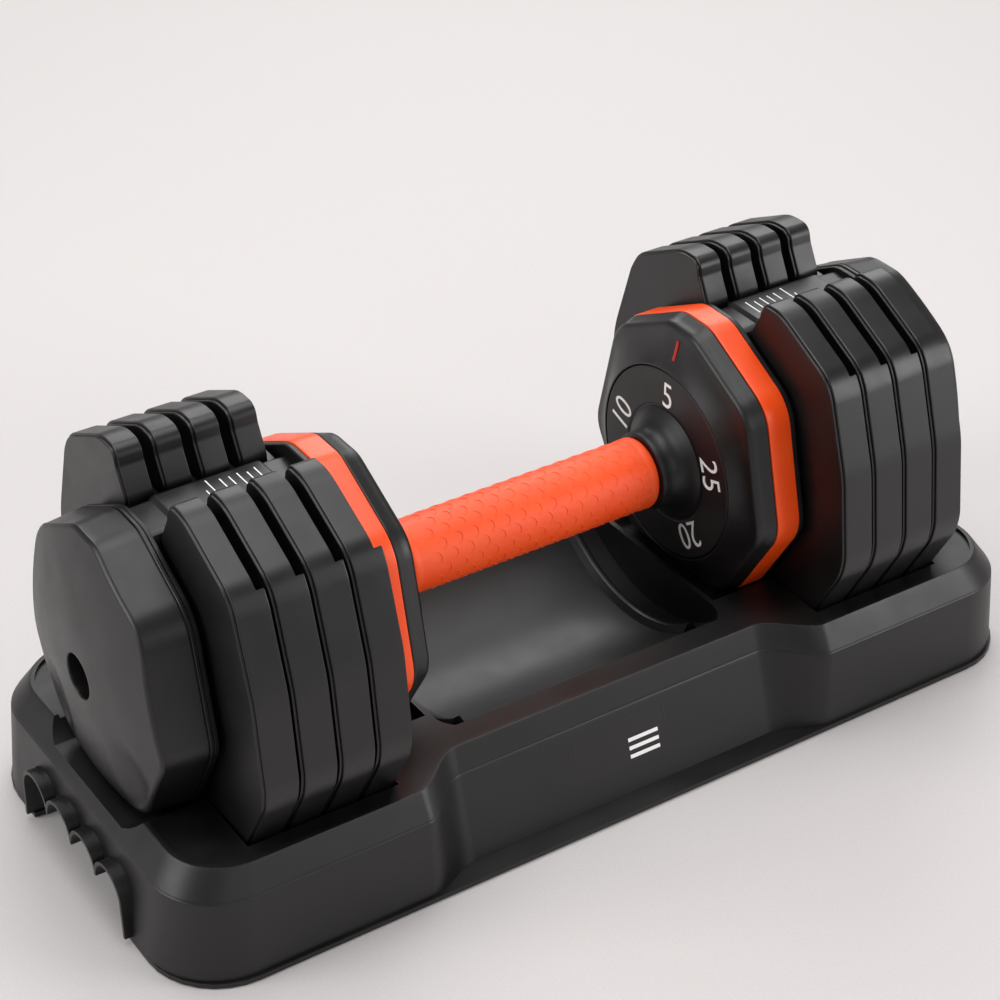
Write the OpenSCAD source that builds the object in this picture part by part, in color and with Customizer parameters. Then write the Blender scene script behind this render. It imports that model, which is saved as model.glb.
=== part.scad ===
// Adjustable dumbbell on its cradle.
// X runs along the handle, -Y is the front, Z is up, and z = 0 is the surface the feet stand on.
// Turning the handle drives two lock rods out through the plates, one plate pair for each click.

/* [Handle] */
// Height of the handle axis above the floor
axis_z = 103.4; // [102:0.1:125]
// Radius of the grip sleeve
grip_r = 17; // [15.5:0.5:20]
// Half the length of the grip sleeve
grip_half = 66.4; // [64:0.2:85]
// Length of the flared hub between grip and dial
hub_len = 13.8; // [10:0.2:20]
// Outer radius of the handle tube
tube_r = 14.5; // [13:0.1:15]
// Radius of the lock rods
rod_r = 7; // [6:0.1:7.4]
// Clicks of the dial round a full turn
clicks = 5; // [5:1:5]

/* [Heads] */
// Radius of the weight dial
dial_r = 46.5; // [38:0.5:50]
// How far the head's face falls back from the dial to its edge
crown = 5.4; // [3:0.2:7]
// Depth of the head's side wall in front of the coloured band
side_depth = 9.7; // [8:0.1:14]
// Width of the coloured band
band_w = 12.2; // [11:0.1:18]
// Thickness of the flange behind the band
flange_t = 3; // [2.4:0.1:5]
// Wall of the head mouldings
head_wall = 3.6; // [2.5:0.1:4.5]

/* [Plates] */
// Distance from one plate to the next
plate_pitch = 17.49; // [14:0.01:22]
// Gap between two plates
plate_gap = 1.2; // [0.8:0.1:3]
// Half the width of a plate
plate_half_w = 91; // [85:0.5:100]
// Height of the plate's top above the handle axis
plate_rise = 84.6; // [82:0.2:95]
// Depth of the plate's bottom below the handle axis
plate_drop = 75.4; // [70:0.2:76]
// Half the width of the slot that the spine drops into
slot_half = 15; // [14:0.5:20]
// Thickness of the steel flange on the plate's -X side
plate_flange_t = 2.3; // [1.5:0.1:4]
// Wall of the plate's moulded cover
cover_wall = 3; // [2:0.1:4]
// How far the plate's horns are cut back on the +X side
horn_cut = 3.8; // [2:0.1:5]

/* [Ends] */
// Depth of the end cap's straight shell
cap_depth = 19.5; // [16:0.5:28]
// How far the end cap's face bulges beyond its shell
dome = 10.8; // [6:0.2:14]
// Thickness of the steel weight in each end cap
weight_t = 13; // [8:0.5:15]

/* [Cradle] */
// Half the cradle's width at its two ends
lobe_half_w = 96; // [94:0.5:110]
// Half the cradle's width at its waist, at the floor
waist_half_w = 86.5; // [80:0.5:90]
// Depth of the cradle's rim below the handle axis
rim_drop = 49.4; // [45.4:0.5:51.4]
// Height of the sloping bevel below the rim
bevel_h = 12; // [8:0.5:18]
// Clear distance from the cap's dome to the cradle's end at the floor
end_margin = 8.2; // [7:0.2:20]
// Radius of the hand trough about the handle axis
trough_r = 76; // [70:0.5:76.4]
// Wall of the cradle moulding
shell_wall = 3; // [2:0.1:3.4]
// Thickness of the bottom plate
base_t = 2.4; // [2:0.1:4]

/* [Clearances] */
// Gap between pieces that move past each other
run_gap = 0.3; // [0.2:0.05:0.5]
// Gap between pieces that are fixed together
seat_gap = 0.05; // [0.02:0.01:0.1]
// Gap between a piece that stands in the cradle and its pocket
pocket_gap = 1.5; // [1:0.1:2.5]

/* [Hidden] */
$fn = 48;
plates = 4;
click_angle = 360 / clicks;

// Stations along X on the right-hand side, each counted from the one before
dial_x = grip_half + hub_len;
edge_x = dial_x + crown;
side_x = edge_x + side_depth;
band_x = side_x + band_w;
flange_x = band_x + flange_t;
stack_gap = 1.8;
stack_x = flange_x + stack_gap;
plate_t = plate_pitch - plate_gap;
stack_end = stack_x + (plates - 1) * plate_pitch + plate_t;
cap_gap = 2.4;
cap_plate_t = 2.5;
cap_x = stack_end + cap_gap;
shell_x = cap_x + cap_plate_t;
dome_x = shell_x + cap_depth;
end_x = dome_x + dome;
cradle_half = end_x + end_margin;

// Outlines across the handle axis as half outlines from top to bottom, [y, z above the axis]
head_half = [[10, 70.6], [52, 48.6], [66.5, -10.4], [38, -57.4]];
head_radii = [12, 14, 8, 12];
cap_half = [[10, 67.6], [49, 46.6], [62, -11.4], [37, -56.4]];
cap_radii = [14, 16, 10, 14];
horn_y = 37;
notch_y = plate_half_w - 16;
plate_half = [[horn_y, plate_rise], [notch_y - 5, plate_rise - 16.5], [notch_y, plate_rise - 25],
              [plate_half_w, -15.4], [plate_half_w - 1, -23.4], [plate_half_w - 29, -plate_drop]];
plate_radii = [6, 3, 4, 5, 5, 8];
slot_lip = [[slot_half + 7, plate_rise - 8], [slot_half, plate_rise - 20]];
horn_z = plate_rise - 15.6;

function unit(v) = v / norm(v);
// A half outline and its mirror image as one counter-clockwise outline
function whole(half) = concat([for (i = [len(half) - 1 : -1 : 0]) half[i]],
                              [for (p = half) [-p.x, p.y]]);
function whole_radii(radii) = concat([for (i = [len(radii) - 1 : -1 : 0]) radii[i]], radii);
// The outline moved outwards by d, edge by edge
function grow(p, d) = [for (i = [0 : len(p) - 1])
    let (n = len(p), u = unit(p[i] - p[(i + n - 1) % n]), v = unit(p[(i + 1) % n] - p[i]),
         a = [u.y, -u.x], b = [v.y, -v.x])
    p[i] + d * (a + b) / (1 + a * b)];
function turn(a) = a > 180 ? a - 360 : a < -180 ? a + 360 : a;
// The outline with each corner rounded to its own radius
function rounded(p, radii, steps = 4) = [for (i = [0 : len(p) - 1])
    let (n = len(p), u = unit(p[(i + n - 1) % n] - p[i]), v = unit(p[(i + 1) % n] - p[i]),
         half = acos(u * v) / 2, r = radii[i], t = r / tan(half),
         c = p[i] + unit(u + v) * r / sin(half), s = p[i] + u * t - c, e = p[i] + v * t - c,
         a0 = atan2(s.y, s.x), sweep = turn(atan2(e.y, e.x) - a0))
    for (k = [0 : steps]) c + r * [cos(a0 + sweep * k / steps), sin(a0 + sweep * k / steps)]];

head_outline = whole(head_half);
head_round = rounded(head_outline, whole_radii(head_radii));
cap_outline = whole(cap_half);
cap_round = rounded(cap_outline, whole_radii(cap_radii));
plate_outline = whole(plate_half);
// The plate's slot for the spine, cut down from between the horns
tongue_z = 14.6;
slot_outline = [[-slot_half, tongue_z], [slot_half, tongue_z], slot_lip[1], slot_lip[0],
                [slot_lip[0].x + 2, plate_rise + 2], [-slot_lip[0].x - 2, plate_rise + 2],
                [-slot_lip[0].x, slot_lip[0].y], [-slot_lip[1].x, slot_lip[1].y]];

// An outline across the handle axis, extruded from x0 to x1
module prism(outline, x0, x1)
    translate([x0, 0, axis_z]) rotate([90, 0, 90]) linear_extrude(x1 - x0) polygon(outline);
// A profile of [radius, x] points turned about the handle axis
module turned(profile)
    translate([0, 0, axis_z]) rotate([0, 90, 0]) rotate_extrude($fn = 96) polygon(profile);
// A round bar or bore along X at height z above the axis
module bar(r, x0, x1, z = 0, y = 0)
    translate([x0, y, axis_z + z]) rotate([0, 90, 0]) cylinder(r = r, h = x1 - x0);
module tube(r, bore, x0, x1) difference() {
    bar(r, x0, x1);
    bar(bore, x0 - 1, x1 + 1);
}
module left() mirror([1, 0, 0]) children();
module both_sides() {
    children();
    left() children();
}

// ---- Head: face moulding, coloured band, back flange ----
crown_steps = 8;
crown_reach = 24;
bore_r = dial_r + run_gap;
// Face of the crowned head, falling back from the dial's bore, moved back by dx
function crown_face(dx) = concat(
    [[0, dial_x + dx]],
    [for (k = [0 : crown_steps]) let (t = k / crown_steps)
        [bore_r + crown_reach * t, dial_x + dx + crown * (1 - pow(1 - t, 1.5))]],
    [[120, edge_x + dx], [120, band_x], [0, band_x]]);
mark_z0 = dial_r + 6.7;
mark_len = 9;
mark_half = 1;
mark_depth = 3.2;
mark_x = dial_x + crown * 0.4;

module index_block(gap)
    translate([mark_x - gap, -mark_half - gap, axis_z + mark_z0 - gap])
        cube([mark_depth + 2 * gap, 2 * (mark_half + gap), mark_len + 2 * gap]);

module inner_head() difference() {
    intersection() {
        prism(head_round, dial_x, side_x);
        turned(crown_face(0));
    }
    bar(bore_r, dial_x - 1, side_x + 1);
    intersection() {
        prism(grow(head_outline, -head_wall), dial_x, side_x + 1);
        turned(crown_face(head_wall));
    }
    index_block(seat_gap);
}
module index_mark() intersection() {
    index_block(0);
    turned(crown_face(-0.3));
}

// Stations of the lock pin below the dial's ring
ring_x = dial_x + 4.8;
ring_t = 6;
ring_in = dial_r - 8.5;
ring_out = dial_r - 2;
slot_depth = 4.4;
pin_half = 2.5;
pin_travel = 4;
stem_r = 3;
stem_x = side_x + band_w / 2;
post_r = 2.6;
post_top = -head_drop() + 2.8;
stem_low = post_top + 0.2;
bridge_low = -(ring_in - 0.6);
bridge_top = bridge_low + 4;
function head_drop() = -head_half[3].y;

module accent_band() difference() {
    prism(head_round, side_x + seat_gap, band_x - seat_gap);
    prism(grow(head_outline, -head_wall), side_x - 1, band_x + 1);
    translate([stem_x, 0, axis_z - head_drop() - 1]) cylinder(r = stem_r + 0.4, h = head_wall + 2);
}

journal_x = side_x - 3;
journal_end = band_x - 3.5;
bush_r = tube_r + 5.5;
bush_end = flange_x - seat_gap;
boss_r = bush_r + 4;
flat_half = rod_r - 1;
screw_r = 2;
screw_head_r = 3.6;
screw_head_t = 2.6;
screw_len = 12;
head_screw_z = [boss_r + screw_head_r + 2, boss_r + screw_head_r + 22];

module screw_holes(x0, x1, gap = 0.05) for (z = head_screw_z) bar(screw_r + gap, x0, x1, z);

module head_back() difference() {
    union() {
        prism(head_round, band_x, flange_x);
        bar(boss_r, side_x + 1, band_x + 1);
    }
    bar(bush_r + seat_gap, side_x, flange_x + 1);
    screw_holes(band_x - 1, flange_x + 1);
}

module bush() difference() {
    bar(bush_r, journal_x, bush_end);
    bar(tube_r + run_gap, journal_x - 1, journal_end);
    intersection() {
        bar(rod_r + run_gap, journal_end - 1, bush_end + 1);
        translate([journal_end - 1, -flat_half - run_gap, axis_z - 20])
            cube([20, 2 * (flat_half + run_gap), 40]);
    }
}

// ---- Spine between head and end cap ----
spine_half = slot_half - 2;
spine_low = tongue_z + 1.2;
spine_top = 66.6;
spine_profile = [[-spine_half, spine_low], [spine_half, spine_low], [spine_half, spine_top - 6],
                 [spine_half - 4, spine_top], [4 - spine_half, spine_top],
                 [-spine_half, spine_top - 6]];

module spine() difference() {
    prism(spine_profile, flange_x + seat_gap, cap_x - seat_gap);
    screw_holes(flange_x, flange_x + screw_len + 1);
    screw_holes(cap_x - screw_len - 1, cap_x);
}

module frame_screw(x, way, z) {
    bar(screw_r, min(x, x + way * (screw_len + flange_t)), max(x, x + way * (screw_len + flange_t)), z);
    bar(screw_head_r, min(x, x - way * screw_head_t), max(x, x - way * screw_head_t), z);
}
module frame_screw_set() for (z = head_screw_z) {
    frame_screw(band_x - seat_gap, 1, z);
    frame_screw(shell_x + seat_gap, -1, z);
}

// ---- End cap ----
hole_r = 10;
cap_wall = 3;
dome_reach = 72;
dome_sphere = (dome_reach * dome_reach + dome * dome) / (2 * dome);
dome_steps = 10;
// Face of the domed cap, moved inwards by dx
function dome_face(dx) = concat(
    [[0, cap_x - 5]], [[120, cap_x - 5], [120, dome_x - dx]],
    [for (k = [dome_steps : -1 : 0]) let (r = dome_reach * k / dome_steps)
        [r, end_x - dx - dome_sphere + sqrt(dome_sphere * dome_sphere - r * r)]]);

module cap_plate() difference() {
    prism(grow(cap_outline, -0.6), cap_x, shell_x - seat_gap);
    screw_holes(cap_x - 1, shell_x + 1);
}
module end_cap() difference() {
    intersection() {
        prism(cap_round, shell_x, end_x + 1);
        turned(dome_face(0));
    }
    intersection() {
        prism(grow(cap_outline, -cap_wall), shell_x - 1, end_x + 1);
        turned(dome_face(cap_wall));
    }
    bar(hole_r, dome_x, end_x + 1);
}
module end_weight() difference() {
    prism(grow(cap_outline, -cap_wall - 1.5), shell_x + screw_head_t + 1.5,
          shell_x + screw_head_t + 1.5 + weight_t);
    bar(hole_r + 2, shell_x, end_x);
}

// ---- Plates: steel core with a flange, and a moulded cover over it ----
rod_hole = rod_r + 0.6;
core_t = plate_t - cover_wall;

module plate_blank(x0, x1, inset) difference() {
    prism(inset == 0 ? rounded(plate_outline, whole_radii(plate_radii)) : grow(plate_outline, -inset),
          x0, x1);
    prism(inset == 0 ? slot_outline : grow(slot_outline, inset), x0 - 1, x1 + 1);
    bar(rod_hole, x0 - 1, x1 + 1);
}
module horn_cutter(x0)
    translate([x0, -plate_half_w, axis_z + horn_z]) cube([plate_t, 2 * plate_half_w, plate_rise]);

module plate_core(x) translate([x, 0, 0]) {
    plate_blank(0, plate_flange_t, 0);
    difference() {
        plate_blank(plate_flange_t, core_t, cover_wall);
        horn_cutter(core_t - horn_cut);
    }
}
module plate_cover(x) translate([x, 0, 0]) difference() {
    plate_blank(plate_flange_t + seat_gap, plate_t, 0);
    difference() {
        plate_blank(plate_flange_t, core_t + seat_gap, cover_wall - seat_gap);
        horn_cutter(core_t - horn_cut + seat_gap);
    }
    horn_cutter(plate_t - horn_cut);
    bar(rod_hole + cover_wall, 0, core_t);
}
// Place of plate n, where 1 is the innermost: both stacks face the same way
function plate_x(side, n) = side == "right" ? stack_x + (n - 1) * plate_pitch
                                            : -stack_x - plate_t - (n - 1) * plate_pitch;

// ---- Handle: grip, tube, hubs, dials ----
pin_x = 7;
follow_r = 2;
groove_deep = rod_r + 3.8;
groove_half_angle = 22;
groove_run = 6;
rod_back = 2;
travel_per_click = plate_pitch;
rod_travel = (clicks - 1) * travel_per_click;
rod_tip = stack_x - 1.4;

module grip_sleeve() difference() {
    rounded_bar();
    bar(tube_r + seat_gap, -grip_half - 1, grip_half + 1);
}
module rounded_bar() turned([[0, -grip_half], [grip_r - 3, -grip_half], [grip_r - 0.9, 0.9 - grip_half],
    [grip_r, 3 - grip_half], [grip_r, grip_half - 3], [grip_r - 0.9, grip_half - 0.9],
    [grip_r - 3, grip_half], [0, grip_half]]);

groove_len = rod_travel + 2 * groove_run;
groove_wedge = concat([[0, 0]], [for (a = [-groove_half_angle : groove_half_angle : groove_half_angle])
    groove_deep * [-cos(a), -sin(a)]]);
groove_start = click_angle * groove_run / travel_per_click;
// The helical groove that the rod's follower pin rides in
module groove() translate([pin_x - groove_run, 0, axis_z]) rotate([0, 90, 0]) rotate([0, 0, groove_start])
    linear_extrude(groove_len, twist = click_angle * groove_len / travel_per_click, slices = 34)
        polygon(groove_wedge);

module handle_tube() difference() {
    bar(tube_r, -journal_end + 1, journal_end - 1);
    bar(rod_r + run_gap + 0.2, -journal_end, journal_end);
    groove();
    left() groove();
}

hub_flare = [[18.2, grip_half + seat_gap], [18.2, grip_half + 3], [18.8, grip_half + 6],
             [20.6, grip_half + 9], [23.2, grip_half + hub_len - 2.2], [26.5, dial_x - seat_gap]];
module hub() turned(concat([[tube_r + seat_gap, grip_half + seat_gap]], hub_flare,
                           [[tube_r + seat_gap, dial_x - seat_gap]]));

module dial() difference() {
    union() {
        tube(dial_r, tube_r + seat_gap, dial_x, ring_x);
        tube(ring_out, ring_in, ring_x - 1, ring_x + ring_t);
    }
    for (k = [0 : clicks - 1]) translate([ring_x, 0, axis_z]) rotate([click_angle * k, 0, 0])
        translate([0, -pin_half - 0.6, -ring_in - slot_depth])
            cube([ring_t + 1, 2 * (pin_half + 0.6), slot_depth + 2]);
}

// ---- Dial numbers, each digit drawn in a 7 by 12 cell with square strokes ----
number_r = 35.35;
digit_w = 7;
digit_h = 12;
stroke = 1.5;
number_proud = 0.3;
// Segments of a digit: top, upper left, upper right, middle, lower left, lower right, bottom
segments = [[1, 1, 1, 0, 1, 1, 1], [0, 0, 1, 0, 0, 1, 0], [1, 0, 1, 1, 1, 0, 1], [], [],
            [1, 1, 0, 1, 0, 1, 1]];
segment_boxes = [[0, digit_h - stroke, digit_w, stroke], [0, digit_h / 2, stroke, digit_h / 2],
                 [digit_w - stroke, digit_h / 2, stroke, digit_h / 2],
                 [0, (digit_h - stroke) / 2, digit_w, stroke], [0, 0, stroke, digit_h / 2],
                 [digit_w - stroke, 0, stroke, digit_h / 2], [0, 0, digit_w, stroke]];
numbers = [[5], [1, 0], [1, 5], [2, 0], [2, 5]];

module digit(d) for (i = [0 : 6]) if (segments[d][i] == 1)
    translate([segment_boxes[i][0], segment_boxes[i][1]]) square([segment_boxes[i][2], segment_boxes[i][3]]);
// All the numbers on one dial: flip 1 reads from -X, flip -1 from +X
module dial_numbers(flip) for (k = [0 : clicks - 1]) let (n = numbers[k], w = len(n) * (digit_w + 1.5) - 1.5)
    translate([dial_x - number_proud, 0, axis_z]) rotate([-click_angle * k, 0, 0])
        translate([0, flip * w / 2, number_r - digit_h / 2]) mirror([0, flip > 0 ? 1 : 0, 0])
            rotate([90, 0, 90]) linear_extrude(number_proud)
                for (i = [0 : len(n) - 1]) translate([i * (digit_w + 1.5), 0]) digit(n[i]);

// ---- Lock rod, lock pin and spring ----
module lock_rod() {
    intersection() {
        turned([[0, rod_back], [rod_r, rod_back], [rod_r, rod_tip - 2], [rod_r - 2, rod_tip], [0, rod_tip]]);
        translate([0, -flat_half, axis_z - 20]) cube([rod_tip + 1, 2 * flat_half, 40]);
    }
    translate([pin_x, 0, axis_z]) cylinder(r = follow_r, h = groove_deep - 0.5);
}
module lock_pin() {
    translate([ring_x + 1, -pin_half, axis_z + bridge_low])
        cube([stem_x + stem_r - ring_x - 1, 2 * pin_half, bridge_top - bridge_low]);
    translate([stem_x, 0, axis_z + stem_low]) cylinder(r = stem_r, h = bridge_top - stem_low);
}
spring_r = 3.4;
wire_r = 0.5;
spring_turns = 4;
spring_low = bridge_top + wire_r + 0.1;
spring_high = -boss_r - wire_r - 0.2;
ring_sides = 6;
spring_steps = spring_turns * 14;
function coil_point(k, j) = let (t = k / spring_steps, a = 360 * spring_turns * t, b = 360 * j / ring_sides,
    r = spring_r + wire_r * cos(b))
    [stem_x + r * cos(a), r * sin(a), axis_z + spring_low + (spring_high - spring_low) * t + wire_r * sin(b)];
module pin_spring() polyhedron(
    [for (k = [0 : spring_steps], j = [0 : ring_sides - 1]) coil_point(k, j)],
    concat([[for (j = [0 : ring_sides - 1]) j]],
           [[for (j = [ring_sides - 1 : -1 : 0]) spring_steps * ring_sides + j]],
           [for (k = [0 : spring_steps - 1], j = [0 : ring_sides - 1])
               let (a = k * ring_sides + j, b = k * ring_sides + (j + 1) % ring_sides)
               [a, a + ring_sides, b + ring_sides, b]]), convexity = 10);

// ---- Cradle ----
foot_t = 0.6;
shell_low = foot_t + base_t + seat_gap;
rim_z = axis_z - rim_drop;
crease_z = rim_z - bevel_h;
corner_r = 34;
waist_x0 = dial_x - 1;
waist_x1 = flange_x - 3;
curve_steps = 6;
corner_steps = 8;
crease_in = [3.9, 1.5, 12];
rim_in = [12.5, 8.5, 16];

// One quarter of the cradle's outline: half-length l, half-width w, waist half-width v, corner radius r
function quarter(l, w, v, r) = concat(
    [for (k = [0 : corner_steps]) let (a = 90 * k / corner_steps) [l - r + r * cos(a), w - r + r * sin(a)]],
    [for (k = [0 : curve_steps]) let (t = k / curve_steps)
        [waist_x1 + (waist_x0 - waist_x1) * t, w + (v - w) * (3 - 2 * t) * t * t]]);
function backwards(p) = [for (i = [len(p) - 1 : -1 : 0]) p[i]];
function full_plan(q) = concat(q, [for (p = backwards(q)) [-p.x, p.y]], [for (p = q) [-p.x, -p.y]],
                               [for (p = backwards(q)) [p.x, -p.y]]);
function at_height(plan, z) = [for (p = plan) [p.x, p.y, z]];
// The cradle's outline at the floor, at the crease and at the rim, moved in by d
function floor_plan(d) = full_plan(quarter(cradle_half - d, lobe_half_w - d, waist_half_w - d, corner_r - d));
function crease_plan(d) = full_plan(quarter(cradle_half - crease_in[0] - d, lobe_half_w - crease_in[1] - d,
                                            waist_half_w - crease_in[2] - d, corner_r - 3 - d));
function rim_plan(d) = full_plan(quarter(cradle_half - rim_in[0] - d, lobe_half_w - rim_in[1] - d,
                                         waist_half_w - rim_in[2] - d, corner_r - 8 - d));
// A solid through outlines of equal length, one above the other
module loft(rings) {
    n = len(rings[0]);
    m = len(rings);
    polyhedron([for (ring = rings) each ring],
        concat([[for (i = [0 : n - 1]) i]], [[for (i = [n - 1 : -1 : 0]) (m - 1) * n + i]],
               [for (k = [0 : m - 2], i = [0 : n - 1]) let (a = k * n + i, b = k * n + (i + 1) % n)
                   each [[a, a + n, b], [b, a + n, b + n]]]), convexity = 10);
}
// The form runs on past its foot and its rim, and one block cuts both faces flat
spare = 4;
module cradle_form() intersection() {
    loft([at_height(floor_plan(0), shell_low - spare), at_height(floor_plan(0), shell_low),
          at_height(crease_plan(0), crease_z), at_height(rim_plan(0), rim_z),
          at_height(rim_plan(0), rim_z + spare)]);
    translate([-2 * cradle_half, -2 * lobe_half_w, shell_low])
        cube([4 * cradle_half, 4 * lobe_half_w, rim_z - shell_low]);
}
// A stepped core inside the cradle's form, moved in by d, from z low to high
module cradle_core(d, low, high) {
    translate([0, 0, low]) linear_extrude(crease_z - d - low) polygon(crease_plan(d));
    translate([0, 0, low]) linear_extrude(high - low) polygon(rim_plan(d));
}

rest_gap = 0.3;
head_floor = axis_z - head_drop() - rest_gap;
pad_t = pocket_gap - rest_gap - seat_gap;
plate_floor = axis_z - plate_drop - rest_gap;
cap_floor = axis_z + cap_half[3].y - rest_gap;
head_pocket_x = [dial_x - 2.5, flange_x + 0.9];
plate_pocket_x = [flange_x + 0.9, cap_x - 1];
cap_pocket_x = [cap_x - 1, end_x + 3];

// A pocket below the deck shaped to an outline grown by gap, with its floor at z
module pocket(half, x, gap, z) intersection() {
    prism(grow(whole(half), gap), x[0], x[1]);
    translate([x[0] - 1, -120, z]) cube([x[1] - x[0] + 2, 240, 200]);
}
module pockets(wall) {
    pocket(head_half, head_pocket_x + wall * [-1, 1], pocket_gap + wall, head_floor - wall);
    pocket(plate_half, plate_pocket_x + wall * [-1, 1], pocket_gap + wall, 0);
    pocket(cap_half, cap_pocket_x + wall * [-1, 1], pocket_gap + wall, cap_floor - wall);
}
trough_half = dial_x - 5;
rib_x = [60, 66];
rib_h = 3.5;
rib_half_y = waist_half_w - rim_in[2] - 14;
module trough(wall) bar(trough_r + wall, -trough_half - wall, trough_half + wall);
module trough_rib() intersection() {
    tube(trough_r + 1, trough_r - rib_h, rib_x[0], rib_x[1]);
    translate([rib_x[0], -rib_half_y, 0]) cube([10, 2 * rib_half_y, rim_z]);
}

// Finger openings under each end wall
grip_half_y = 47;
arches = 4;
arch_pitch = 2 * grip_half_y / arches;
arch_r = 11;
arch_z = 20;
cusp_z = 13.5;
grip_depth = 18;
lip_t = 3;
grip_x = cradle_half - grip_depth;
module finger_space(wall) {
    for (i = [0 : arches - 1]) translate([grip_x - wall, (i + 0.5) * arch_pitch - grip_half_y, 0]) {
        translate([0, 0, arch_z]) rotate([0, 90, 0]) cylinder(r = arch_r + wall, h = grip_depth + 20);
        translate([0, -arch_r - wall, cusp_z - 1])
            cube([grip_depth + 20, 2 * (arch_r + wall), arch_z - cusp_z + 1]);
    }
    translate([grip_x - wall, -grip_half_y - wall, -1])
        cube([grip_depth + 20, 2 * (grip_half_y + wall), cusp_z + 1]);
}
module finger_lip() intersection() {
    difference() {
        finger_space(lip_t);
        finger_space(0);
    }
    translate([cradle_half - 5, -120, shell_low]) cube([8, 240, rim_z]);
}

// Screw bosses: four in the ends' corners and four in the waist
boss_half = 4;
boss_depth = 33;
pilot_r = 1.5;
boss_places = [for (sx = [-1, 1], sy = [-1, 1]) each
    [[sx * (cradle_half - corner_r + 10), sy * (lobe_half_w - 21)], [sx * 40, sy * (waist_half_w - 18)]]];
module bosses(r, z0, z1) for (p = boss_places) translate([p.x, p.y, z0]) cylinder(r = r, h = z1 - z0);

badge_w = 52;
badge_h = 30;
badge_t = 1.2;
badge_z = 23;
wall_tilt = atan2(crease_in[2], crease_z - shell_low);
wall_y = waist_half_w - crease_in[2] * (badge_z - shell_low) / (crease_z - shell_low);
module badge_block(gap) translate([0, -wall_y, badge_z]) rotate([-wall_tilt, 0, 0])
    translate([-badge_w / 2 - gap, -0.1, -badge_h / 2 - gap])
        cube([badge_w + 2 * gap, badge_t + gap, badge_h + 2 * gap]);

module cradle_shell() difference() {
    union() {
        difference() {
            cradle_form();
            cradle_core(shell_wall, shell_low - 1, rim_z - shell_wall);
            badge_block(seat_gap);
        }
        intersection() {
            cradle_core(1, shell_low, rim_z - 0.5);
            union() {
                trough(shell_wall);
                both_sides() {
                    pockets(shell_wall);
                    finger_space(shell_wall);
                }
                bosses(boss_half, shell_low, rim_z);
            }
        }
        both_sides() finger_lip();
    }
    difference() {
        trough(0);
        both_sides() trough_rib();
    }
    both_sides() {
        pockets(0);
        finger_space(0);
        post_socket();
    }
    bosses(pilot_r, 0, boss_depth);
}
post_flange_r = 6;
post_flange_t = 1.5;
module post_socket() translate([stem_x, 0, head_floor - post_flange_t - seat_gap])
    cylinder(r = post_flange_r + seat_gap, h = 5);
module release_post() translate([stem_x, 0, 0]) {
    translate([0, 0, head_floor - post_flange_t]) cylinder(r = post_flange_r, h = post_flange_t - 0.1);
    translate([0, 0, head_floor - post_flange_t])
        cylinder(r = post_r, h = axis_z + post_top - head_floor + post_flange_t);
}
module plate_pad() translate([plate_pocket_x[0] + 1, -plate_half[5].x + 4, plate_floor - pad_t])
    cube([plate_pocket_x[1] - plate_pocket_x[0] - 2, 2 * plate_half[5].x - 8, pad_t]);

base_half_y = lobe_half_w + 1.5;
cap_screw_r = 3.2;
foot_r = 9;
foot_depth = 1.2;
foot_places = [for (sx = [-1, 0, 1], sy = [-1, 1]) [sx * (cradle_half - 50), sy * (base_half_y - 28)]];
module feet(gap) for (p = foot_places) translate([p.x, p.y, 0])
    cylinder(r = foot_r + gap, h = foot_t + foot_depth + gap);
base_plan = full_plan(concat([for (k = [0 : corner_steps]) let (a = 90 * k / corner_steps)
    [cradle_half - corner_r + corner_r * cos(a), base_half_y - corner_r + corner_r * sin(a)]]));
module cradle_bottom_plate() difference() {
    translate([0, 0, foot_t]) linear_extrude(base_t) polygon(base_plan);
    for (s = [-1, 1]) translate([s * (cradle_half - grip_depth / 2 + 2), 0, 0])
        cube([grip_depth + 4, 2 * grip_half_y - 2, 20], center = true);
    feet(seat_gap);
    bosses(pilot_r + 0.2, 0, 10);
    bosses(cap_screw_r + 0.2, 0, foot_t + 1.2);
}
module rubber_feet() feet(0);
module cradle_screws() {
    bosses(pilot_r - seat_gap, foot_t + 0.2, 14);
    bosses(cap_screw_r, foot_t + 0.1, foot_t + 1.2 - seat_gap);
}

color("#1b1b1d") cradle_shell();
color("#161617") cradle_bottom_plate();
color("#101010") rubber_feet();
color("#8c8c8c") cradle_screws();
color("#2a2a2c") badge_block(0);  // badge_plate
color("#101010") left() plate_pad();  // plate_pad_left
color("#101010") plate_pad();  // plate_pad_right
color("#9a9a9a") left() release_post();  // release_post_left
color("#9a9a9a") release_post();  // release_post_right
color("#1c1c1e") left() inner_head();  // inner_head_left
color("#1c1c1e") inner_head();  // inner_head_right
color("#ff4a12") left() accent_band();  // accent_band_left
color("#ff4a12") accent_band();  // accent_band_right
color("#141415") left() head_back();  // head_back_left
color("#141415") head_back();  // head_back_right
color("#b08d3c") left() bush();  // bush_left
color("#b08d3c") bush();  // bush_right
color("#1a1a1c") left() spine();  // spine_left
color("#1a1a1c") spine();  // spine_right
color("#141415") left() cap_plate();  // cap_plate_left
color("#141415") cap_plate();  // cap_plate_right
color("#1c1c1e") left() end_cap();  // end_cap_left
color("#1c1c1e") end_cap();  // end_cap_right
color("#5c5c5e") left() end_weight();  // end_weight_left
color("#5c5c5e") end_weight();  // end_weight_right
color("#e02010") left() index_mark();  // index_mark_left
color("#e02010") index_mark();  // index_mark_right
color("#8c8c8c") {  // frame_screws
    both_sides() frame_screw_set();
}
color("#ff4a12") grip_sleeve();
color("#a8a8aa") handle_tube();
color("#18181a") left() hub();  // hub_left
color("#18181a") hub();  // hub_right
color("#202022") left() dial();  // dial_left
color("#202022") dial();  // dial_right
color("#f0f0f0") left() dial_numbers(-1);  // dial_numbers_left
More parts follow.
